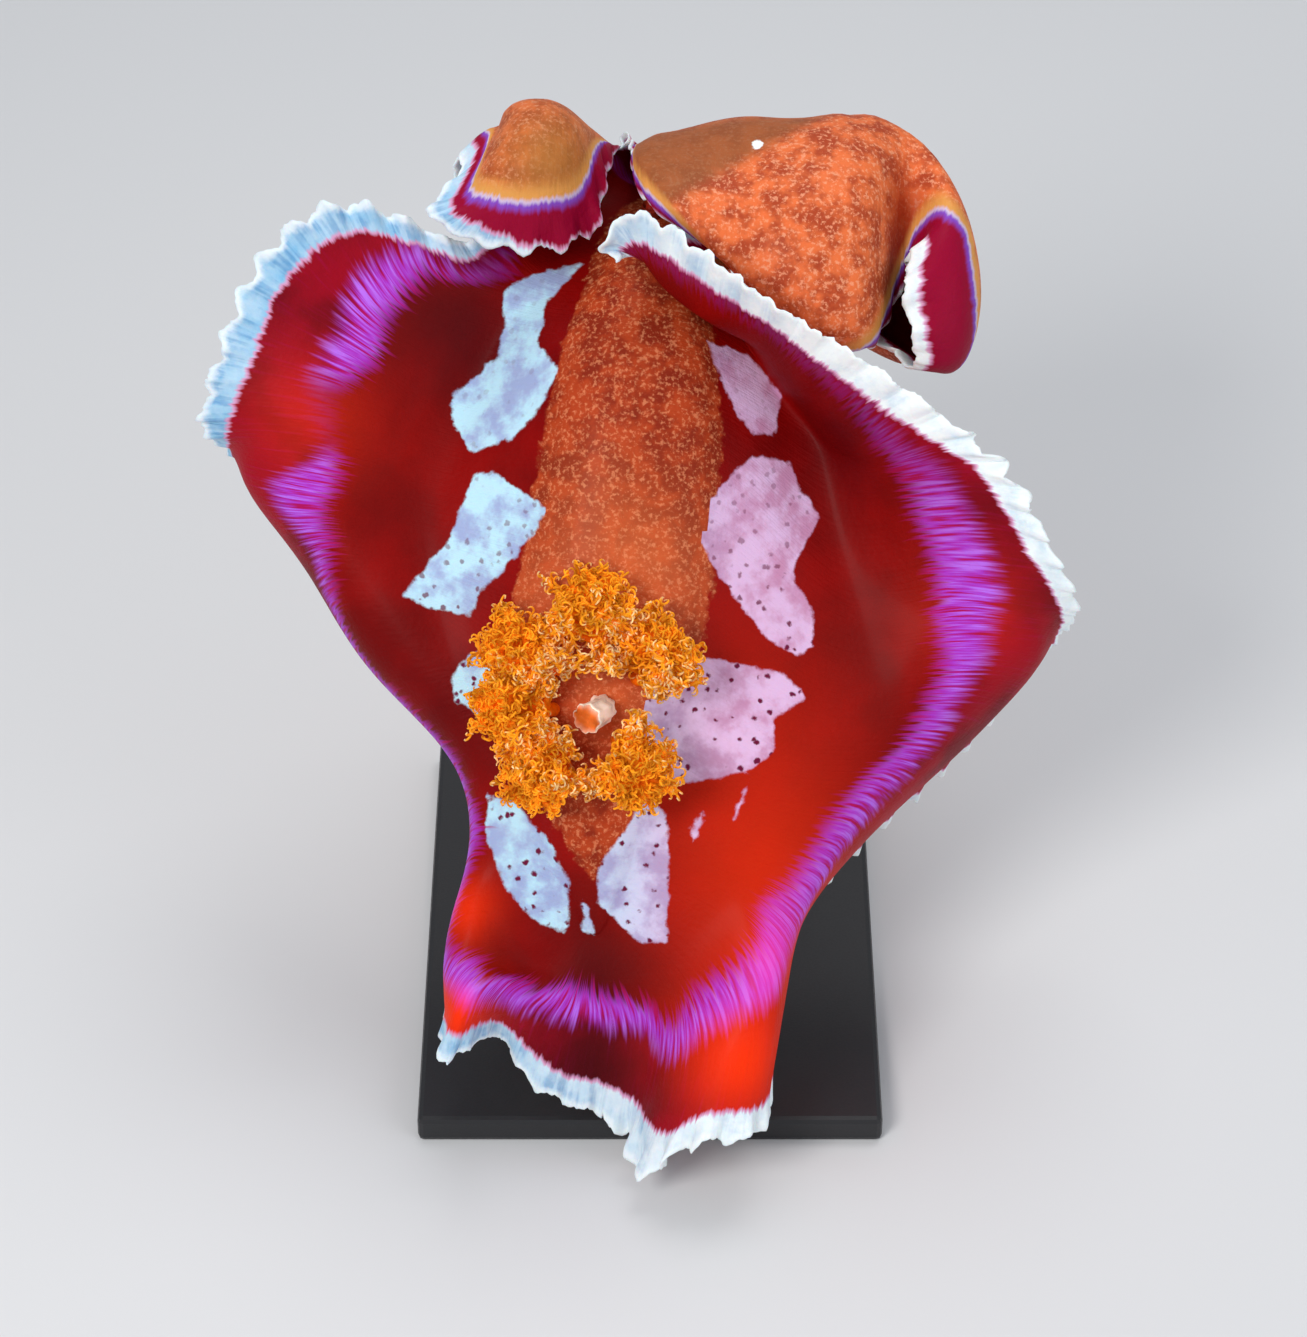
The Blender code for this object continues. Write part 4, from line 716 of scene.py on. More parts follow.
def dancer_skin(group):
    """One closed skin over body, mantle and foot, with what its colours need stored at each point."""
    grid, thick, stations = fine_mantle()
    grid, thick, left, along = frill(grid, thick)
    normals = surface_normals(grid, passes=2)
    backs = root_frames(stations % FULL_TURN)[2]
    blend = np.clip(1 - np.arange(grid.shape[1]) / ROOT_ROWS, 0, 1)[None, :, None]
    normals = unit(normals * (1 - blend) + backs[:, None] * blend)
    upper = grid + normals * thick[..., None]
    under = grid - normals * thick[..., None]
    back_points, belly_points = body_profiles(stations)
    top = soften(np.concatenate([back_points, upper[:, 1:]], axis=1), *BACK_SOFT)
    low = soften(np.concatenate([belly_points[:, ::-1], under[:, 1:]], axis=1), *BELLY_SOFT)
    surface = np.concatenate([top, low[:, ::-1]], axis=1)
    count, width = surface.shape[:2]
    cells = np.arange(count * width).reshape(count, width)
    ahead = np.roll(cells, -1, axis=0)
    quads = np.stack([cells[:, :-1], cells[:, 1:], ahead[:, 1:], ahead[:, :-1]], axis=-1).reshape(-1, 4)
    faces = [tuple(quad) for quad in quads.tolist()]
    faces += centre_strip(cells[:, 0], stations) + centre_strip(cells[:, -1], stations)
    skin = build("dancer_skin", place(surface.reshape(-1, 3)), faces, group)
    for name, value in skin_values(surface, top.shape[1], left, along, stations).items():
        store(skin, name, value)
    return skin


def centre_strip(line, stations):
    """Close the strip along the middle of the back or the sole."""
    round_by = stations % FULL_TURN
    order = np.argsort(round_by)
    right = [int(k) for k in order if round_by[k] <= FULL_TURN / 2]
    left = [int(k) for k in order[::-1] if round_by[k] > FULL_TURN / 2]
    share = station_share(round_by)
    return zipped([int(line[k]) for k in right], [int(line[k]) for k in left], share[right], share[left])


def by_station(table, stations):
    """The values that a table gives by station, each as a column."""
    marks, *values = np.array(table, float).T
    return [np.interp(stations % FULL_TURN, marks, value)[:, None] for value in values]


def skin_values(surface, rim, left, along, stations):
    """What the skin's colours read at each point. All but the shares and strengths are in mm."""
    count, width = surface.shape[:2]
    x, y, z = np.moveaxis(surface, 2, 0)
    near, far, strength = by_station(BAND, stations)
    white, = by_station(FRINGE, stations)
    under_white, crimson = by_station(UNDER_RIM, stations)
    from_rim = np.full((count, width), BODY_FROM_RIM)
    from_rim[:, BACK_ROWS:rim] = left[:, 1:]
    from_rim[:, rim:rim + left.shape[1] - 1] = left[:, :0:-1]
    upper, sole = np.zeros((2, count, width))
    upper[:, :rim] = 1
    sole[:, -SOLE_ROWS:] = 1
    reach = np.linalg.norm(np.diff(surface, axis=1), axis=2)
    steps = np.concatenate([np.zeros((count, 1)), np.cumsum(reach, axis=1)], axis=1)
    inside_body = np.where(upper > 0, steps[:, BACK_ROWS - 1, None] - steps, -FAR)
    return {"from_rim": from_rim, "along_rim": np.repeat(along[:, None], width, axis=1),
            "upper": upper, "sole": sole, "inside_strip": inside_body - np.interp(y, *zip(*STRIP_INSET)),
            "inside_patch": patch_values(surface, rim, stations),
            "past_fringe": from_rim - np.where(upper > 0, white, under_white),
            "under_run": from_rim - under_white - crimson,
            "past_band": from_rim - near, "before_band": far - from_rim,
            "band": np.repeat(strength, width, axis=1), "glow": nearness(surface, GLOWS),
            "shade": nearness(surface, SHADES), "strip_glow": nearness(surface, STRIP_GLOWS),
            "gold": nearness(surface, GOLDS), "dotted": np.interp(y, *zip(*DOTS_FADE)),
            **hood_values(surface, x, y, z)}


def patch_values(surface, rim, stations):
    """How far each point lies inside a white patch."""
    round_by = stations % FULL_TURN
    shown = (round_by < PATCH_RIGHT_END) | (round_by > PATCH_LEFT_START)
    patch = np.full(surface.shape[:2], -FAR)
    flat = surface[:, :rim][shown]
    patch[:, :rim][shown] = patch_depth(flat.reshape(-1, 3)[:, :2]).reshape(flat.shape[:2])
    patch[surface[..., 2] > PATCH_HEIGHT] = -FAR
    return patch


def hood_values(surface, x, y, z):
    """The shares of the painted shade on the hood's back lobe, of its white spot and of the painted shade in
    the hollow beside it.
    """
    first, second = np.array(HOOD_CREASE, float)
    ahead = second - first
    beside = ((x - first[0]) * ahead[1] - (y - first[1]) * ahead[0]) / np.linalg.norm(ahead)
    lobe_shade = np.clip(0.5 - beside / HOOD_FADE, 0, 1) * (x > HOOD_START[0]) * (y > HOOD_START[1])
    spot = 1 - np.linalg.norm(surface[..., :2] - np.array(HOOD_SPOT[0], float), axis=2) / HOOD_SPOT[1]
    hollow = 1 - np.linalg.norm((surface - HOOD_HOLLOW_SHADE[0]) / HOOD_HOLLOW_SHADE[1], axis=2)
    in_front = np.interp(z, HOOD_CREST, (0, 1))
    return {"lobe_shade": lobe_shade * in_front, "spot": spot * (in_front > 0), "hollow": np.clip(hollow * 2, 0, 1)}


def nearness(surface, spots):
    """How near points are to some spots: each is its strength in its middle and fades with its reach."""
    near = np.zeros(surface.shape[:-1])
    for middle, reach, strength in spots:
        away = np.linalg.norm(surface[..., :2] - np.array(middle, float), axis=-1) / reach
        near = 1 - (1 - near) * (1 - strength * np.exp(-away ** 2))
    return near


def store(thing, name, values):
    """Store a value for each point, for the materials to read."""
    layer = thing.data.attributes.new(name, "FLOAT", "POINT")
    layer.data.foreach_set("value", np.asarray(values, np.float32).reshape(-1))


def ring_faces(cells):
    """Quads along rows of rings of points, with a face over the first and the last ring."""
    near, far = cells[..., :-1, :], cells[..., 1:, :]
    quads = np.stack([near, np.roll(near, -1, axis=-1), np.roll(far, -1, axis=-1), far], axis=-1)
    ends = [cells[..., end, :].reshape(-1, cells.shape[-1]) for end in (0, -1)]
    return [tuple(face) for rows in (quads.reshape(-1, 4), *ends) for face in rows.tolist()]


def angles(many):
    """Angles evenly spaced round a circle."""
    return np.arange(many) * 2 * math.pi / many


def circles(first, second, sides):
    """Points round a circle of the two directions."""
    turns = angles(sides)[:, None]
    return np.cos(turns) * first + np.sin(turns) * second


def put(name, data, group):
    """A new object in the group."""
    thing = bpy.data.objects.new(name, data)
    group.objects.link(thing)
    return thing


def build(name, points, faces, group):
    mesh = bpy.data.meshes.new(name)
    mesh.from_pydata(points.tolist(), [], faces)
    shape = bmesh.new()
    shape.from_mesh(mesh)
    bmesh.ops.recalc_face_normals(shape, faces=shape.faces)
    shape.to_mesh(mesh)
    shape.free()
    mesh.shade_smooth()
    return put(name, mesh, group)


# Forms that stand on the skin

def tubes(paths, radii, sides):
    """Many tapering tubes at once: their points, faces and how far along its tube each point lies."""
    paths = np.asarray(paths, float)
    many, steps = paths.shape[:2]
    ahead = unit(np.gradient(paths, axis=1))
    side = unit(np.cross(ahead[:, 0], (0.31, 0.52, 0.79)))
    rings = []
    for step in range(steps):
        side = unit(side - ahead[:, step] * np.sum(side * ahead[:, step], axis=1, keepdims=True))
        across = np.cross(ahead[:, step], side)
        circle = circles(side[:, None], across[:, None], sides)
        rings.append(paths[:, step, None] + radii[:, step, None, None] * circle)
    faces = ring_faces(np.arange(many * steps * sides).reshape(many, steps, sides))
    run = np.broadcast_to(np.linspace(0, 1, steps)[None, :, None], (many, steps, sides))
    return np.stack(rings, axis=1).reshape(-1, 3), faces, run.reshape(-1)


def merged(name, parts, group):
    """One object from several sets of points, faces and values."""
    points, faces, values = [], [], []
    start = 0
    for part_points, part_faces, part_values in parts:
        points.append(part_points)
        faces += [tuple(v + start for v in face) for face in part_faces]
        values.append(part_values)
        start += len(part_points)
    thing = build(name, place(np.concatenate(points)), faces, group)
    store(thing, "toward_tip", np.concatenate(values))
    return thing


def curling_paths(starts, aims, bends, lengths, steps, turn=1.2):
    """Paths that set off along their aims and turn towards their bends, faster as they go."""
    aims = unit(aims)
    across = unit(bends - aims * np.sum(bends * aims, axis=1, keepdims=True))
    points = [np.asarray(starts, float)]
    for step in range(steps):
        angle = turn * ((step + 0.5) / steps) ** 1.4
        heading = aims * np.cos(angle) + across * np.sin(angle)
        points.append(points[-1] + heading * lengths[:, None] / steps)
    return np.stack(points, axis=1)


def at_share(paths, shares):
    """The point at a share of each path."""
    spot = shares * (paths.shape[1] - 1)
    low = np.minimum(spot.astype(int), paths.shape[1] - 2)
    part = (spot - low)[:, None]
    rows = np.arange(len(paths))
    return paths[rows, low] * (1 - part) + paths[rows, low + 1] * part


def heading_at(paths, shares):
    low = np.minimum((shares * (paths.shape[1] - 1)).astype(int), paths.shape[1] - 2)
    rows = np.arange(len(paths))
    return unit(paths[rows, low + 1] - paths[rows, low])


def offshoots(paths, dice, many, first, last, length, spread, turn, steps):
    """Side branches along each path, turned out from it all round and curling over at their ends."""
    parents = np.repeat(paths, many, axis=0)
    shares = np.tile(np.linspace(first, last, many), len(paths)) + dice.uniform(-0.03, 0.03, len(parents))
    shares = np.clip(shares, 0, 1)
    starts = at_share(parents, shares)
    ahead = heading_at(parents, shares)
    side = unit(np.cross(ahead, unit(dice.normal(size=(len(parents), 3)))))
    aims = side + ahead * spread
    up = np.array([0, 0, 1.0])
    bends = up * dice.uniform(-0.2, 1.0, (len(parents), 1)) + unit(dice.normal(size=(len(parents), 3)))
    lengths = length * dice.uniform(0.7, 1.15, len(parents)) * (1.1 - 0.35 * shares)
    return curling_paths(starts, aims, bends, lengths, steps, turn)


def own_room(paths, number, radius):
    """Hold paths back from the planes halfway to the neighbouring plumes."""
    own = np.array(GILL_SITES[number - 1][1], float)
    for k, (_, other) in enumerate(GILL_SITES, start=1):
        if k != number:
            across = unit(np.array(other, float) - own)
            over = (paths - (own + np.array(other)) / 2) @ across + radius
            paths = paths - np.maximum(over, 0)[..., None] * across
    return paths


def back_point(share, across):
    """The point of the back at a share of the spine and mm to its right, with the back's direction there."""
    centre, _, right, back = spine_frame(share)
    wide = abs(float(side_width(math.degrees(math.acos(1 - 2 * share)))))
    lift = math.sqrt(max(1 - (across / wide) ** 2, 0.0))
    point = centre + right * across + back * (WALL_TOP + HUMP * wide * lift)
    return point, unit(back + right * HUMP * across / (wide * max(lift, 0.2)))


def back_site(x, y):
    """The same under x, y of the animal's frame."""
    share = float(np.interp(y, SPINE_LINE[:, 1], np.linspace(0, 1, len(SPINE_LINE))))
    centre, _, right, _ = spine_frame(share)
    return back_point(share, (x - centre[0]) / max(right[0], 0.2))


def gill(number, site, plume, group):
    """One gill: a trunk that fans into branches, twigs and curled filaments with pale tips."""
    dice = np.random.default_rng(GILL_SEED + number)
    root, up = back_site(*site)
    plume = np.array(plume, float)
    knots = [root - up * 1.5, root + up * 3.5, 0.45 * root + 0.55 * plume + up * 2.0, plume - up * 1.0]
    trunk = flow(knots, np.linspace(0, 3, 14))[None]
    branches = offshoots(trunk, dice, GILL_BRANCHES, first=0.36, last=1.0, length=BRANCH_LENGTH, spread=0.45,
                         turn=1.1, steps=7)
    branches = own_room(branches, number, radius=0.5)
    twigs = offshoots(branches, dice, TWIGS, first=0.12, last=1.0, length=TWIG_LENGTH, spread=0.7,
                      turn=1.0, steps=5)
    hairs = offshoots(twigs, dice, FILAMENTS, first=0.2, last=1.0, length=FILAMENT_LENGTH, spread=1.1,
                      turn=FILAMENT_CURL, steps=7)
    parts = []
    for paths, kind in ((trunk, TRUNK), (branches, BRANCH), (twigs, TWIG), (hairs, FILAMENT)):
        taper, sides, near, far = kind
        radii = np.interp(np.linspace(0, 1, paths.shape[1]), np.linspace(0, 1, len(taper)), taper)
        points, faces, run = tubes(paths, np.tile(radii, (len(paths), 1)), sides)
        outward = np.linalg.norm(points - plume, axis=1) / PLUME_REACH
        outward = np.clip((outward - PALE_FROM) / (1 - PALE_FROM), 0, 1)
        parts.append((points, faces, (near + (far - near) * run) * (0.5 + 0.5 * outward)))
    return merged("gill_plume_%d" % number, parts, group)


def papilla(group):
    """The anal papilla: a pleated tube with an open mouth."""
    root, up = back_site(*PAPILLA_SITE)
    axis = unit(np.array(PAPILLA_LEAN))
    path = flow([root - up, root + up * 4, root + up * 6 + axis * 6], np.linspace(0, 2, PAPILLA_RINGS))
    ahead = unit(path[-1] - path[-2])
    path = np.vstack([path] + [path[-1] + ahead * beyond for beyond, _, _ in PAPILLA_LIPS])
    run = np.linspace(0, 1, PAPILLA_RINGS)
    radii = np.append(np.interp(run, *zip(*PAPILLA_TUBE)), [radius for _, radius, _ in PAPILLA_LIPS])
    points, faces, _ = tubes(path[None], radii[None], PAPILLA_SIDES)
    rings = points.reshape(len(path), PAPILLA_SIDES, 3)
    turns = angles(PAPILLA_SIDES)
    pleat = sum((depth * np.sin(many * turns + start) for many, depth, start in PLEATS), start=1.0)
    rings = path[:, None] + (rings - path[:, None]) * pleat[None, :, None]
    values = np.repeat(np.append(run * 0.6, [value for _, _, value in PAPILLA_LIPS]), PAPILLA_SIDES)
    return merged("papilla_tube", [(rings.reshape(-1, 3), faces, values)], group)


def rhinophore(name, across, group):
    """A club with many slanting plates, standing in a short wavy sheath."""
    root, up = back_point(RHINOPHORE_STATION, across)
    profile = list(SHEATH)
    for plate in range(PLATES):
        foot = PLATES_START + PLATES_RUN * plate / PLATES
        swell = CLUB_RADIUS * math.sin(math.pi * (0.28 + 0.6 * plate / PLATES))
        profile += [(swell * share, foot + above, value) for share, above, value in PLATE_RINGS]
    profile += CLUB_TIP
    side = unit(np.cross(up, (0.2, 0.9, 0.3)))
    circle, turns = circles(side, np.cross(up, side), CLUB_SIDES), angles(CLUB_SIDES)
    rings = []
    for radius, height, _ in profile:
        slant = 0.5 * radius * np.cos(turns)
        wave = 0.12 * np.sin(6 * turns) * (height > 1)
        lift = height + (slant if height > CLUB_START else wave)
        rings.append(root + up * lift[:, None] + circle * radius)
    faces = ring_faces(np.arange(len(profile) * CLUB_SIDES).reshape(-1, CLUB_SIDES))
    values = np.repeat([value for _, _, value in profile], CLUB_SIDES)
    return merged(name + "_club", [(np.concatenate(rings), faces, values)], group)


# Head and oral tentacles

def under_front(x, y, z, lift=0.0):
    """Points under the front of the body: x right, y forward of the head's middle, z dorsal."""
    share = HEAD_STATION + y / SPINE_LENGTH
    held = np.minimum(share, 1.0)
    centre, forward, right, back = spine_frame(held)
    beyond = np.maximum(share - 1.0, 0.0) * SPINE_LENGTH
    degrees = np.degrees(np.arccos(1 - 2 * held))
    height = np.minimum(z, -belly_depth(degrees) - GAP - BEND_ROOM + lift)
    return centre + forward * beyond[:, None] + right * x[:, None] + back * height[:, None]


def head_point(x, y, z):
    """One such point."""
    return under_front(*np.array([[x], [y], [z]], float))[0]


def head_form(group):
    """The head with its lips round the mouth and the lobes beside it, in closed pieces that cross."""
    shape = bmesh.new()
    bmesh.ops.create_uvsphere(shape, u_segments=56, v_segments=40, radius=1.0)
    ball = np.array([vert.co for vert in shape.verts])
    faces = [tuple(v.index for v in face.verts) for face in shape.faces]
    shape.free()
    wide, long, deep = HEAD_SIZE
    block = under_front(ball[:, 0] * wide, ball[:, 2] * long, -6.5 + ball[:, 1] * deep, 1.6)
    pieces = [build("head_block", place(block), faces, group), lips(group)]
    for side in (-1, 1):
        pieces += oral_lobe(side, group)
    return pieces


def lips(group):
    """A puckered ring of flesh round the mouth."""
    _, forward, right, back = spine_frame(np.array(1.0))
    out = unit(forward * 0.75 - back * 0.66)
    front, deep = LIPS_SITE
    point = head_point(0, front, deep)
    along = unit(np.cross(out, right))
    wide, tall = LIPS_OVAL
    folds, depth = LIPS_FOLDS
    round_lip, sides = LIPS_POINTS
    roll = angles(sides)
    rings = []
    for turn in angles(round_lip):
        direction = right * math.cos(turn) * wide + along * math.sin(turn) * tall
        thick = LIPS_THICK * (1 + depth * math.sin(folds * turn))
        across = direction * (LIPS_RADIUS + thick * np.cos(roll))[:, None]
        rings.append(point + across + out * (thick * np.sin(roll))[:, None])
    cells = np.arange(round_lip * sides).reshape(round_lip, sides)
    ahead = np.roll(cells, -1, axis=0)
    quads = np.stack([cells, ahead, np.roll(ahead, -1, axis=1), np.roll(cells, -1, axis=1)], axis=-1)
    faces = [tuple(quad) for quad in quads.reshape(-1, 4).tolist()]
    return build("head_lips", place(np.concatenate(rings)), faces, group)


def oral_lobe(side, group):
    """A flat lobe beside the mouth, cut into fingers along its edge."""
    _, forward, right, back = spine_frame(np.array(HEAD_STATION))
    root = head_point(side * (HEAD_SIZE[0] - 2.5), 1.0, -7.0)
    out = unit(right * side + forward * 0.35 - back * 0.25)
    broad = unit(forward - out * (forward @ out))
    thin = np.cross(out, broad)
    rings = []
    for reach, wide, thick in LOBE_RINGS:
        rings.append(root + out * reach + circles(broad * wide, thin * thick, LOBE_SIDES))
    faces = ring_faces(np.arange(len(rings) * LOBE_SIDES).reshape(-1, LOBE_SIDES))
    pieces = [build("lobe_palm", place(np.concatenate(rings)), faces, group)]
    middle = (LOBE_FINGERS - 1) / 2
    bend = -thin * side
    for finger in range(LOBE_FINGERS):
        spread = (finger - middle) / middle
        reach, length = [most - less * abs(spread) for most, less in (FINGER_ROOTS, FINGER_LENGTHS)]
        start = root + out * reach + broad * spread * FINGER_SPREAD
        aim = out + broad * spread * FINGER_FAN
        path = curling_paths(start[None], aim[None], bend[None], np.array([length]), steps=9, turn=0.8)
        radii = np.interp(np.linspace(0, 1, 10), *zip(*FINGER_RADII))[None]
        points, faces, _ = tubes(path, radii, sides=14)
        pieces.append(build("lobe_finger", place(points), faces, group))
    return pieces


def fused(base, pieces):
    """Fuse closed pieces into the base, then drop them."""
    extras = bpy.data.collections.new("to_fuse")
    for piece in pieces:
        extras.objects.link(piece)
        for name, value in FUSED_VALUES.items():
            store(piece, name, np.full(len(piece.data.vertices), value))
    union = base.modifiers.new("union", "BOOLEAN")
    union.operand_type = "COLLECTION"
    union.collection = extras
    union.solver = "MANIFOLD"
    union.operation = "UNION"
    graph = bpy.context.evaluated_depsgraph_get()
    mesh = bpy.data.meshes.new_from_object(base.evaluated_get(graph))
    base.modifiers.clear()
    base.data = mesh
    mesh.shade_smooth()
    for piece in pieces:
        bpy.data.objects.remove(piece)
    bpy.data.collections.remove(extras)
    return base


# Material helpers

def feed(tree, node, sockets):
    """Give a node's sockets their values; one that is given another socket is linked to it."""
    for key, value in sockets.items():
        if isinstance(value, bpy.types.NodeSocket):
            tree.links.new(value, node.inputs[key])
        else:
            node.inputs[key].default_value = value


def add(tree, kind, sockets=None, **settings):
    """Add a node with its settings and sockets."""
    made = tree.nodes.new(kind)
    for key, value in settings.items():
        setattr(made, key, value)
    feed(tree, made, sockets or {})
    return made


def maths(tree, operation, first, second=0.0):
    return add(tree, "ShaderNodeMath", {0: first, 1: second}, operation=operation).outputs[0]


def mixed(tree, share, first, second):
    made = add(tree, "ShaderNodeMix", {0: share, 6: first, 7: second}, data_type="RGBA")
    return made.outputs[2]


def ramped(tree, value, low, high, start=0.0, end=1.0):
    """A smooth step from low to high."""
    sockets = {"Value": value, "From Min": low, "From Max": high, "To Min": start, "To Max": end}
    return add(tree, "ShaderNodeMapRange", sockets, interpolation_type="SMOOTHSTEP").outputs[0]


def noise(tree, vector, scale, detail=3.0, rough=0.5):
    sockets = {"Vector": vector, "Scale": scale, "Detail": detail, "Roughness": rough}
    return add(tree, "ShaderNodeTexNoise", sockets).outputs[0]


def stored(tree, name):
    return add(tree, "ShaderNodeAttribute", attribute_name=name).outputs["Fac"]


def own_position(tree):
    return add(tree, "ShaderNodeTexCoord").outputs["Object"]


def make_group(name, inputs, outputs):
    """A new node group with named sockets of the given kinds, and its input and output nodes."""
    tree = bpy.data.node_groups.new(name, "ShaderNodeTree")
    for way, sockets in (("INPUT", inputs), ("OUTPUT", outputs)):
        for label, kind in sockets.items():
            tree.interface.new_socket(label, in_out=way, socket_type="NodeSocket" + kind)
    return tree, tree.nodes.new("NodeGroupInput").outputs, tree.nodes.new("NodeGroupOutput").inputs


def use_group(tree, group, sockets):
    return add(tree, "ShaderNodeGroup", sockets, node_tree=group).outputs


def new_material(name):
    material = bpy.data.materials.new(name)
    material.use_nodes = True
    tree = material.node_tree
    return material, tree, tree.nodes["Principled BSDF"]


def streaks_group():
    """Fine lines that run from the rim inwards."""
    inputs = {"Along": "Float", "From Rim": "Float", "Spacing": "Float"}
    tree, given, result = make_group("edge_streaks", inputs, {"Value": "Float"})
    across = maths(tree, "DIVIDE", given["Along"], given["Spacing"])
    down = maths(tree, "MULTIPLY", given["From Rim"], 0.06)
    vector = add(tree, "ShaderNodeCombineXYZ", {0: across, 1: down}).outputs[0]
    tree.links.new(noise(tree, vector, scale=1.0, detail=2.0), result["Value"])
    return tree


def flecks_group():
    """A mottle of pale flecks and darker hollows in flesh."""
    tree, given, result = make_group("flecks", {"Vector": "Vector"}, {"Fleck": "Float", "Cloud": "Float"})
    fine = noise(tree, given["Vector"], scale=900.0, detail=4.0, rough=0.65)
    cloud = noise(tree, given["Vector"], scale=170.0, rough=0.55)
    tree.links.new(ramped(tree, fine, 0.50, 0.64), result["Fleck"])
    tree.links.new(ramped(tree, cloud, 0.36, 0.64), result["Cloud"])
    return tree


def grain_group():
    """The fine grain of a surface, as a value and as a bumped normal."""
    inputs = {"Vector": "Vector", "Scale": "Float", "Strength": "Float", "Height": "Float"}
    tree, given, result = make_group("surface_grain", inputs, {"Value": "Float", "Normal": "Vector"})
    value = noise(tree, given["Vector"], given["Scale"], detail=4.0, rough=0.6)
    sockets = {"Height": value, "Strength": given["Strength"], "Distance": given["Height"]}
    tree.links.new(value, result["Value"])
    tree.links.new(add(tree, "ShaderNodeBump", sockets).outputs[0], result["Normal"])
    return tree


def scaled(tree, value, by):
    return maths(tree, "MULTIPLY", value, by)


def shift(tree, value, size):
    """A value between 0 and 1 as a shift to either side."""
    return scaled(tree, maths(tree, "SUBTRACT", value, 0.5), size)


def roughened(tree, value, position, scale, size):
    """A value in mm shifted at random, so that its edge is ragged."""
    grain = noise(tree, position, scale, detail=4.0, rough=0.6)
    return maths(tree, "ADD", value, shift(tree, grain, size))


def layered(tree, base, *coats):
    """A base under coats of colour, each with how far it covers what is under it."""
    for share, colour in coats:
        base = mixed(tree, share, base, colour)
    return base


def red_field(tree, position):
    """The deep red of the back, with painted maroon shade and a painted glow of light in thin places."""
    cloud = noise(tree, position, scale=45.0)
    return layered(tree, FIELD_DARK,
                   (ramped(tree, cloud, 0.3, 0.7, 0.25, 0.9), FIELD_RED),
                   (scaled(tree, stored(tree, "shade"), SHADE_DEPTH), SHADE_MAROON),
                   (stored(tree, "glow"), GLOW_RED))


def patched(tree, field, position, sideways):
    """White patches with small dark dots laid over the field."""
    depth = roughened(tree, stored(tree, "inside_patch"), position, scale=240.0, size=3.5)
    bent = add(tree, "ShaderNodeTexNoise", {"Vector": position, "Scale": 900.0}).outputs[1]
    bent = add(tree, "ShaderNodeMix", {0: 0.0012, 4: position, 5: bent}, data_type="VECTOR").outputs[1]
    dots = add(tree, "ShaderNodeTexVoronoi", {"Vector": bent, "Scale": 300.0, "Randomness": 1.0})
    scatter = scaled(tree, noise(tree, position, scale=70.0, detail=2.0), 0.26)
    sized = maths(tree, "SUBTRACT", dots.outputs["Distance"], scatter)
    # painted blue light on the patches' left side, giving way to pink on the right
    white = mixed(tree, ramped(tree, sideways, -0.03, 0.03), PATCH_BLUE_LIGHT, PATCH_PINK)
    pale = mixed(tree, ramped(tree, sideways, -0.03, 0.02), PATCH_PALE_BLUE_LIGHT, PATCH_BLUSH)
    cloud = noise(tree, position, scale=110.0, detail=4.0, rough=0.6)
    white = mixed(tree, ramped(tree, cloud, 0.36, 0.60), white, pale)
    dot = maths(tree, "MULTIPLY", ramped(tree, sized, 0.0, 0.14, 1.0, 0.0), stored(tree, "dotted"))
    white = mixed(tree, dot, white, PATCH_DOT)
    return mixed(tree, ramped(tree, depth, -0.4, 0.5), field, white)


def upper_colour(tree, streak, position, sideways, flecks):
    """The back: brown middle strip, red field, white patches, then purple and crimson."""
    glow = stored(tree, "glow")
    strip = layered(tree, STRIP_BROWN,
                    (flecks["Cloud"], STRIP_ORANGE),
                    # painted glow of light where the strip is brightest
                    (scaled(tree, stored(tree, "strip_glow"), 0.6), STRIP_GLOW),
                    (scaled(tree, flecks["Fleck"], 0.5), STRIP_FLECK))
    inside = roughened(tree, stored(tree, "inside_strip"), position, scale=300.0, size=7.0)
    field = mixed(tree, ramped(tree, inside, -0.6, 1.2), red_field(tree, position), strip)
    field = patched(tree, field, position, sideways)
    # the band takes a painted pink glow of light where the glow spots lie
    tint = layered(tree, MAGENTA,
                   (ramped(tree, streak, 0.34, 0.50), PURPLE),
                   (ramped(tree, streak, 0.46, 0.66), LILAC),
                   (ramped(tree, glow, 0.3, 0.9, 0.0, 0.85), BAND_GLOW_PINK))
    crimson = layered(tree, CRIMSON_DEEP,
                      (ramped(tree, noise(tree, position, scale=50.0), 0.35, 0.65), CRIMSON),
                      (ramped(tree, streak, 0.5, 0.8, 0.0, 0.3), MAGENTA),
                      (scaled(tree, stored(tree, "shade"), SHADE_DEPTH), SHADE_MAROON),
                      (glow, GLOW_RED))
    teeth = shift(tree, streak, 20.0)
    outer = maths(tree, "ADD", stored(tree, "past_band"), scaled(tree, teeth, 0.5))
    inner = maths(tree, "SUBTRACT", stored(tree, "before_band"), teeth)
    ground = mixed(tree, ramped(tree, outer, -3.0, 5.0), crimson, field)
    cover = maths(tree, "MULTIPLY", ramped(tree, inner, -3.0, 3.0), ramped(tree, outer, -4.0, 4.0))
    return mixed(tree, maths(tree, "MULTIPLY", cover, stored(tree, "band")), ground, tint)


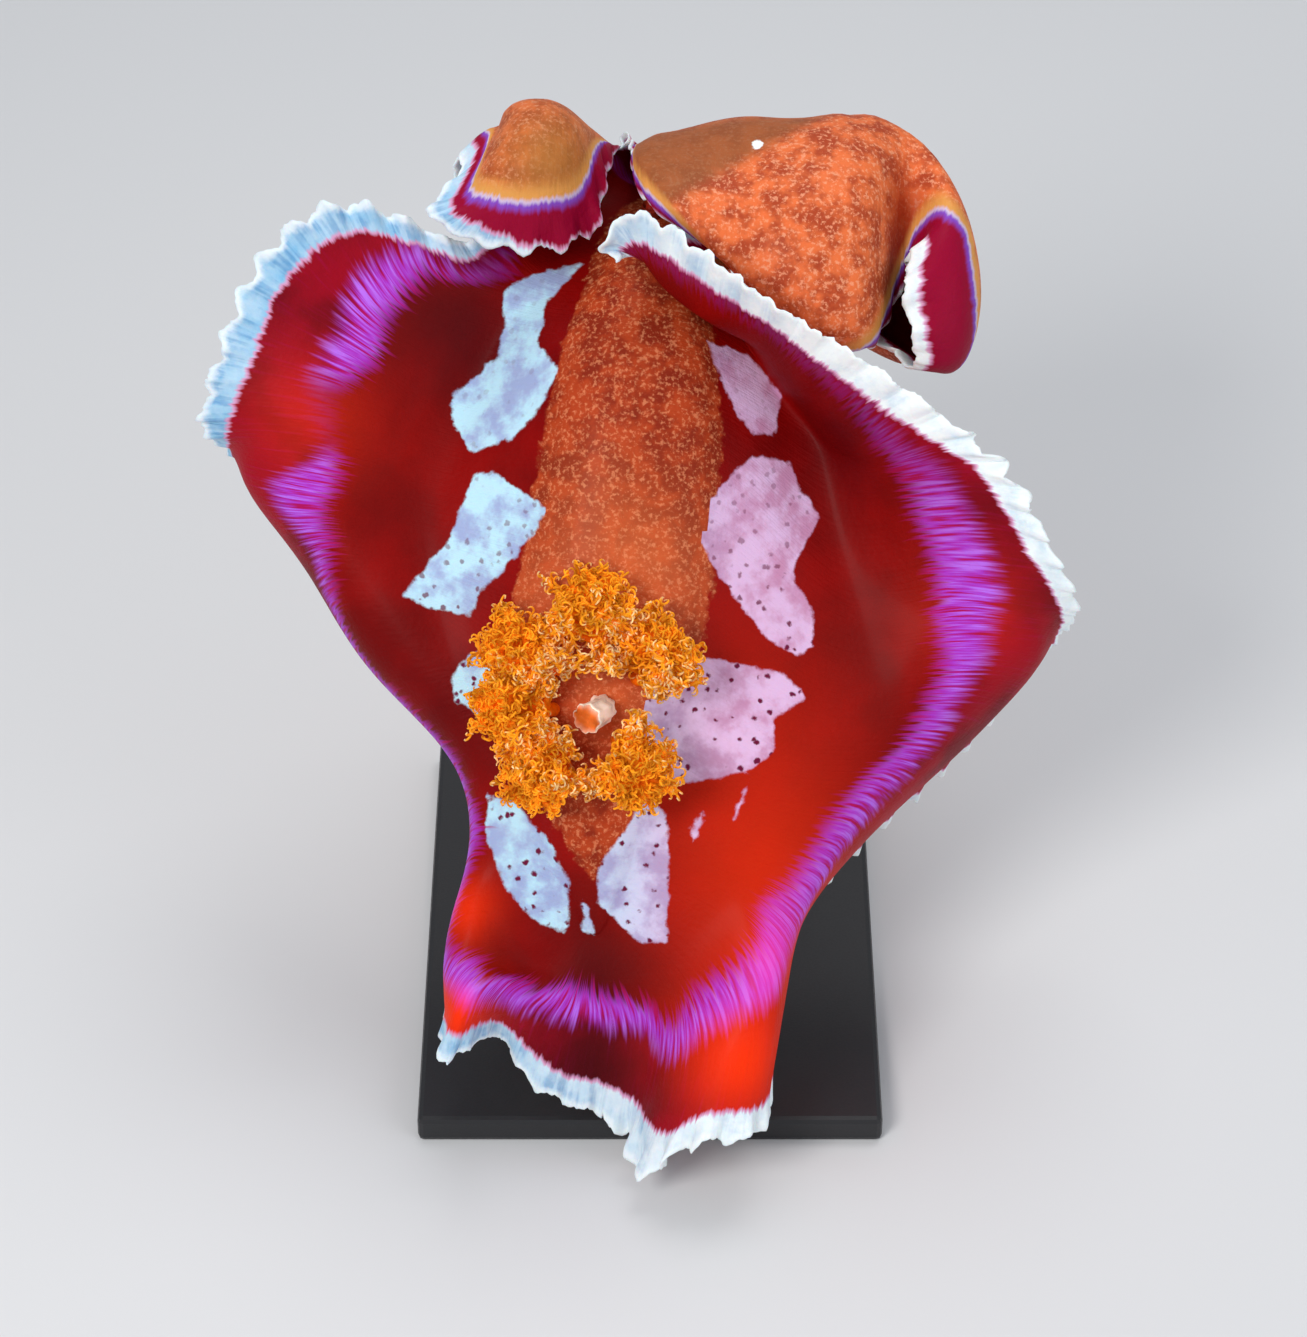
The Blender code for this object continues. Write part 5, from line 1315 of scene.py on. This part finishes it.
def under_colour(tree, streak, position, flecks):
    """The underside: mottled tan, then yellow, lilac and crimson towards the rim, and the pale sole."""
    spot = roughened(tree, stored(tree, "spot"), position, scale=500.0, size=0.9)
    flesh = layered(tree, UNDER_BROWN,
                    (flecks["Cloud"], UNDER_TAN),
                    (scaled(tree, flecks["Fleck"], 0.75), UNDER_FLECK),
                    # painted shade on the hood's back lobe
                    (scaled(tree, stored(tree, "lobe_shade"), 0.8), UNDER_LOBE_SHADE),
                    # painted shade in the hollow between hood and cup
                    (scaled(tree, stored(tree, "hollow"), 0.85), UNDER_HOLLOW_SHADE),
                    (stored(tree, "gold"), UNDER_GOLD),
                    (ramped(tree, spot, 0.3, 0.5), FRINGE_WHITE),
                    (ramped(tree, stored(tree, "sole"), 0.3, 0.7), SOLE))
    edge = maths(tree, "ADD", stored(tree, "under_run"), shift(tree, streak, 3.0))
    for low, high, colour in UNDER_EDGE:
        flesh = mixed(tree, ramped(tree, edge, low, high), colour, flesh)
    return flesh


def fringe_colour(tree, rim, streak, position, sideways):
    """The white edge, with painted blue light on the left and painted shade in its hollows, both left off
    along its crest.
    """
    # painted blue light, strongest on the left
    leftward = ramped(tree, sideways, -0.09, 0.06, 0.75, 0.05)
    blue_light = roughened(tree, leftward, position, scale=130.0, size=1.0)
    white = mixed(tree, blue_light, FRINGE_WHITE, FRINGE_BLUE_LIGHT)
    # painted shade in the fringe's hollows
    furrow_shade = maths(tree, "MULTIPLY", noise(tree, position, scale=160.0), streak)
    furrow_shade = ramped(tree, furrow_shade, 0.2, 0.36, 0.0, 0.8)
    white = mixed(tree, maths(tree, "MULTIPLY", furrow_shade, blue_light), white, FRINGE_SHADE)
    crest = roughened(tree, rim, position, scale=300.0, size=3.5)
    return mixed(tree, ramped(tree, crest, 0.6, 3.0, 0.75, 0.0), white, FRINGE_WHITE)


def skin_material(streaks, fleck_group, grain):
    material, tree, shader = new_material("dancer_skin")
    position = own_position(tree)
    sideways = add(tree, "ShaderNodeSeparateXYZ", {0: position}).outputs["X"]
    rim = stored(tree, "from_rim")
    lines = {"Along": stored(tree, "along_rim"), "From Rim": rim, "Spacing": 1.3}
    streak = use_group(tree, streaks, lines)["Value"]
    flecks = use_group(tree, fleck_group, {"Vector": position})
    under = under_colour(tree, streak, position, flecks)
    upper = upper_colour(tree, streak, position, sideways, flecks)
    colour = mixed(tree, stored(tree, "upper"), under, upper)
    past = maths(tree, "ADD", stored(tree, "past_fringe"), shift(tree, streak, 4.5))
    past = roughened(tree, past, position, scale=90.0, size=3.0)
    white = fringe_colour(tree, rim, streak, position, sideways)
    colour = mixed(tree, ramped(tree, past, 0.0, 1.4), FRINGE_PINK, colour)
    colour = mixed(tree, ramped(tree, past, -0.9, 0.3), white, colour)
    fine = use_group(tree, grain, {"Vector": position, "Scale": 700.0, "Strength": 0.4, "Height": 0.0006})
    sockets = {"Height": streak, "Strength": 0.3, "Distance": 0.0006, "Normal": fine["Normal"]}
    bumped = add(tree, "ShaderNodeBump", sockets).outputs[0]
    feed(tree, shader, {"Base Color": colour, "Normal": bumped, **WET})
    return material


def flesh_material(name, grain, colours, glow=0.0):
    """Flesh that runs from root to tip through colours, each with where on the way it is reached."""
    material, tree, shader = new_material(name)
    position = own_position(tree)
    run = stored(tree, "toward_tip")
    low, colour = colours[0]
    for high, following in colours[1:]:
        colour = mixed(tree, ramped(tree, run, low, high), colour, following)
        low = high
    shade = ramped(tree, noise(tree, position, scale=260.0), 0.3, 0.7, 0.6, 1.15)
    grey = add(tree, "ShaderNodeCombineColor", {0: shade, 1: shade, 2: shade}).outputs[0]
    tinted = add(tree, "ShaderNodeMix", {0: 1.0, 6: colour, 7: grey}, data_type="RGBA", blend_type="MULTIPLY")
    tinted = tinted.outputs[2]
    fine = use_group(tree, grain, {"Vector": position, "Scale": 900.0, "Strength": 0.25, "Height": 0.0004})
    feed(tree, shader, {"Base Color": tinted, "Emission Color": tinted, "Emission Strength": glow,
                        "Normal": fine["Normal"], **WET})
    return material


def stand_material(name, grain, colour, metallic, roughness, grain_scale, stretch):
    """Powder-coated or brushed metal of the stand."""
    material, tree, shader = new_material(name)
    stretched = {"Vector": own_position(tree), "Scale": (1, 1, stretch)}
    position = add(tree, "ShaderNodeMapping", stretched).outputs[0]
    sockets = {"Vector": position, "Scale": grain_scale, "Strength": 0.2, "Height": 0.0002}
    fine = use_group(tree, grain, sockets)
    rough = ramped(tree, fine["Value"], 0.3, 0.7, roughness - 0.08, roughness + 0.08)
    feed(tree, shader, {"Base Color": colour, "Metallic": metallic, "Roughness": rough,
                        "Normal": fine["Normal"]})
    return material


# Floor, light and camera

def pale_floor(group):
    mesh = bpy.data.meshes.new("floor")
    corners = [(x * FLOOR_REACH, y * FLOOR_REACH, 0) for x, y in ((-1, -1), (1, -1), (1, 1), (-1, 1))]
    mesh.from_pydata(corners, [], [(0, 1, 2, 3)])
    floor = put("floor", mesh, group)
    material, tree, shader = new_material("pale_floor")
    feed(tree, shader, {"Base Color": FLOOR_PALE, "Roughness": FLOOR_ROUGH})
    mesh.materials.append(material)


def facing(direction):
    """The turn that makes a lamp or a camera look that way."""
    return direction.to_track_quat("-Z", "Y").to_euler()


def studio(group):
    for name, spot, size, power, colour in LIGHTS:
        light = bpy.data.lights.new(name, "AREA")
        light.shape = "DISK"
        light.size = size
        light.energy = power
        light.color = colour
        lamp = put(name, light, group)
        lamp.location = spot
        lamp.rotation_euler = facing(Vector(LIT_POINT) - Vector(spot))
    world = bpy.data.worlds.new("studio")
    world.use_nodes = True
    feed(world.node_tree, world.node_tree.nodes["Background"], {"Color": SKY, "Strength": SKY_STRENGTH})
    bpy.context.scene.world = world
    bpy.context.scene.view_settings.view_transform = "Standard"


def camera(group):
    """The photograph's view: straight along the animal's back-to-belly direction."""
    target = Vector(place(np.array(CAMERA_TARGET)))
    lean = math.radians(LEAN_DEG)
    away = Vector((0, -math.cos(lean), math.sin(lean)))
    lens = bpy.data.cameras.new("camera")
    lens.sensor_width = CAMERA_SENSOR
    lens.lens = CAMERA_LENS
    eye = put("camera", lens, group)
    eye.location = target + away * CAMERA_DISTANCE
    eye.rotation_euler = facing(-away)
    bpy.context.scene.camera = eye


def dressed(piece, material, node):
    piece.data.materials.append(material)
    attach(piece, "root")
    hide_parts(node)


def finish_stand(nodes, grain):
    base = stand_material("stand_base_finish", grain, BASE_BLACK, metallic=0.0, roughness=0.42,
                          grain_scale=1600.0, stretch=1)
    rod = stand_material("stand_rod_finish", grain, ROD_STEEL, metallic=1.0, roughness=0.3,
                         grain_scale=2500.0, stretch=0.03)
    for name, material in (("stand_base", base), ("stand_rod_rear", rod), ("stand_rod_front", rod)):
        for slot in nodes[name].material_slots:
            slot.material = material


def main():
    group = bpy.data.collections.new("dancer")
    bpy.context.scene.collection.children.link(group)
    streaks, flecks, grain = streaks_group(), flecks_group(), grain_group()
    skin = dancer_skin(group)
    skin = fused(skin, head_form(group))
    skin.data.materials.clear()
    skin.data.materials.append(skin_material(streaks, flecks, grain))
    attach(skin, "root")
    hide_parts(*FLESH_NODES)
    gill_skin = flesh_material("gill_flesh", grain, GILL_COLOURS, GILL_GLOW)
    for number, (site, plume) in enumerate(GILL_SITES, start=1):
        dressed(gill(number, site, plume, group), gill_skin, "gill_%d" % number)
    papilla_skin = flesh_material("papilla_flesh", grain, PAPILLA_COLOURS, PAPILLA_GLOW)
    dressed(papilla(group), papilla_skin, "anal_papilla")
    club_skin = flesh_material("rhinophore_flesh", grain, RHINOPHORE_COLOURS)
    for name, across in RHINOPHORE_SITES.items():
        dressed(rhinophore(name, across, group), club_skin, name)
    finish_stand(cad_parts, grain)
    pale_floor(group)
    studio(group)
    camera(group)


main()
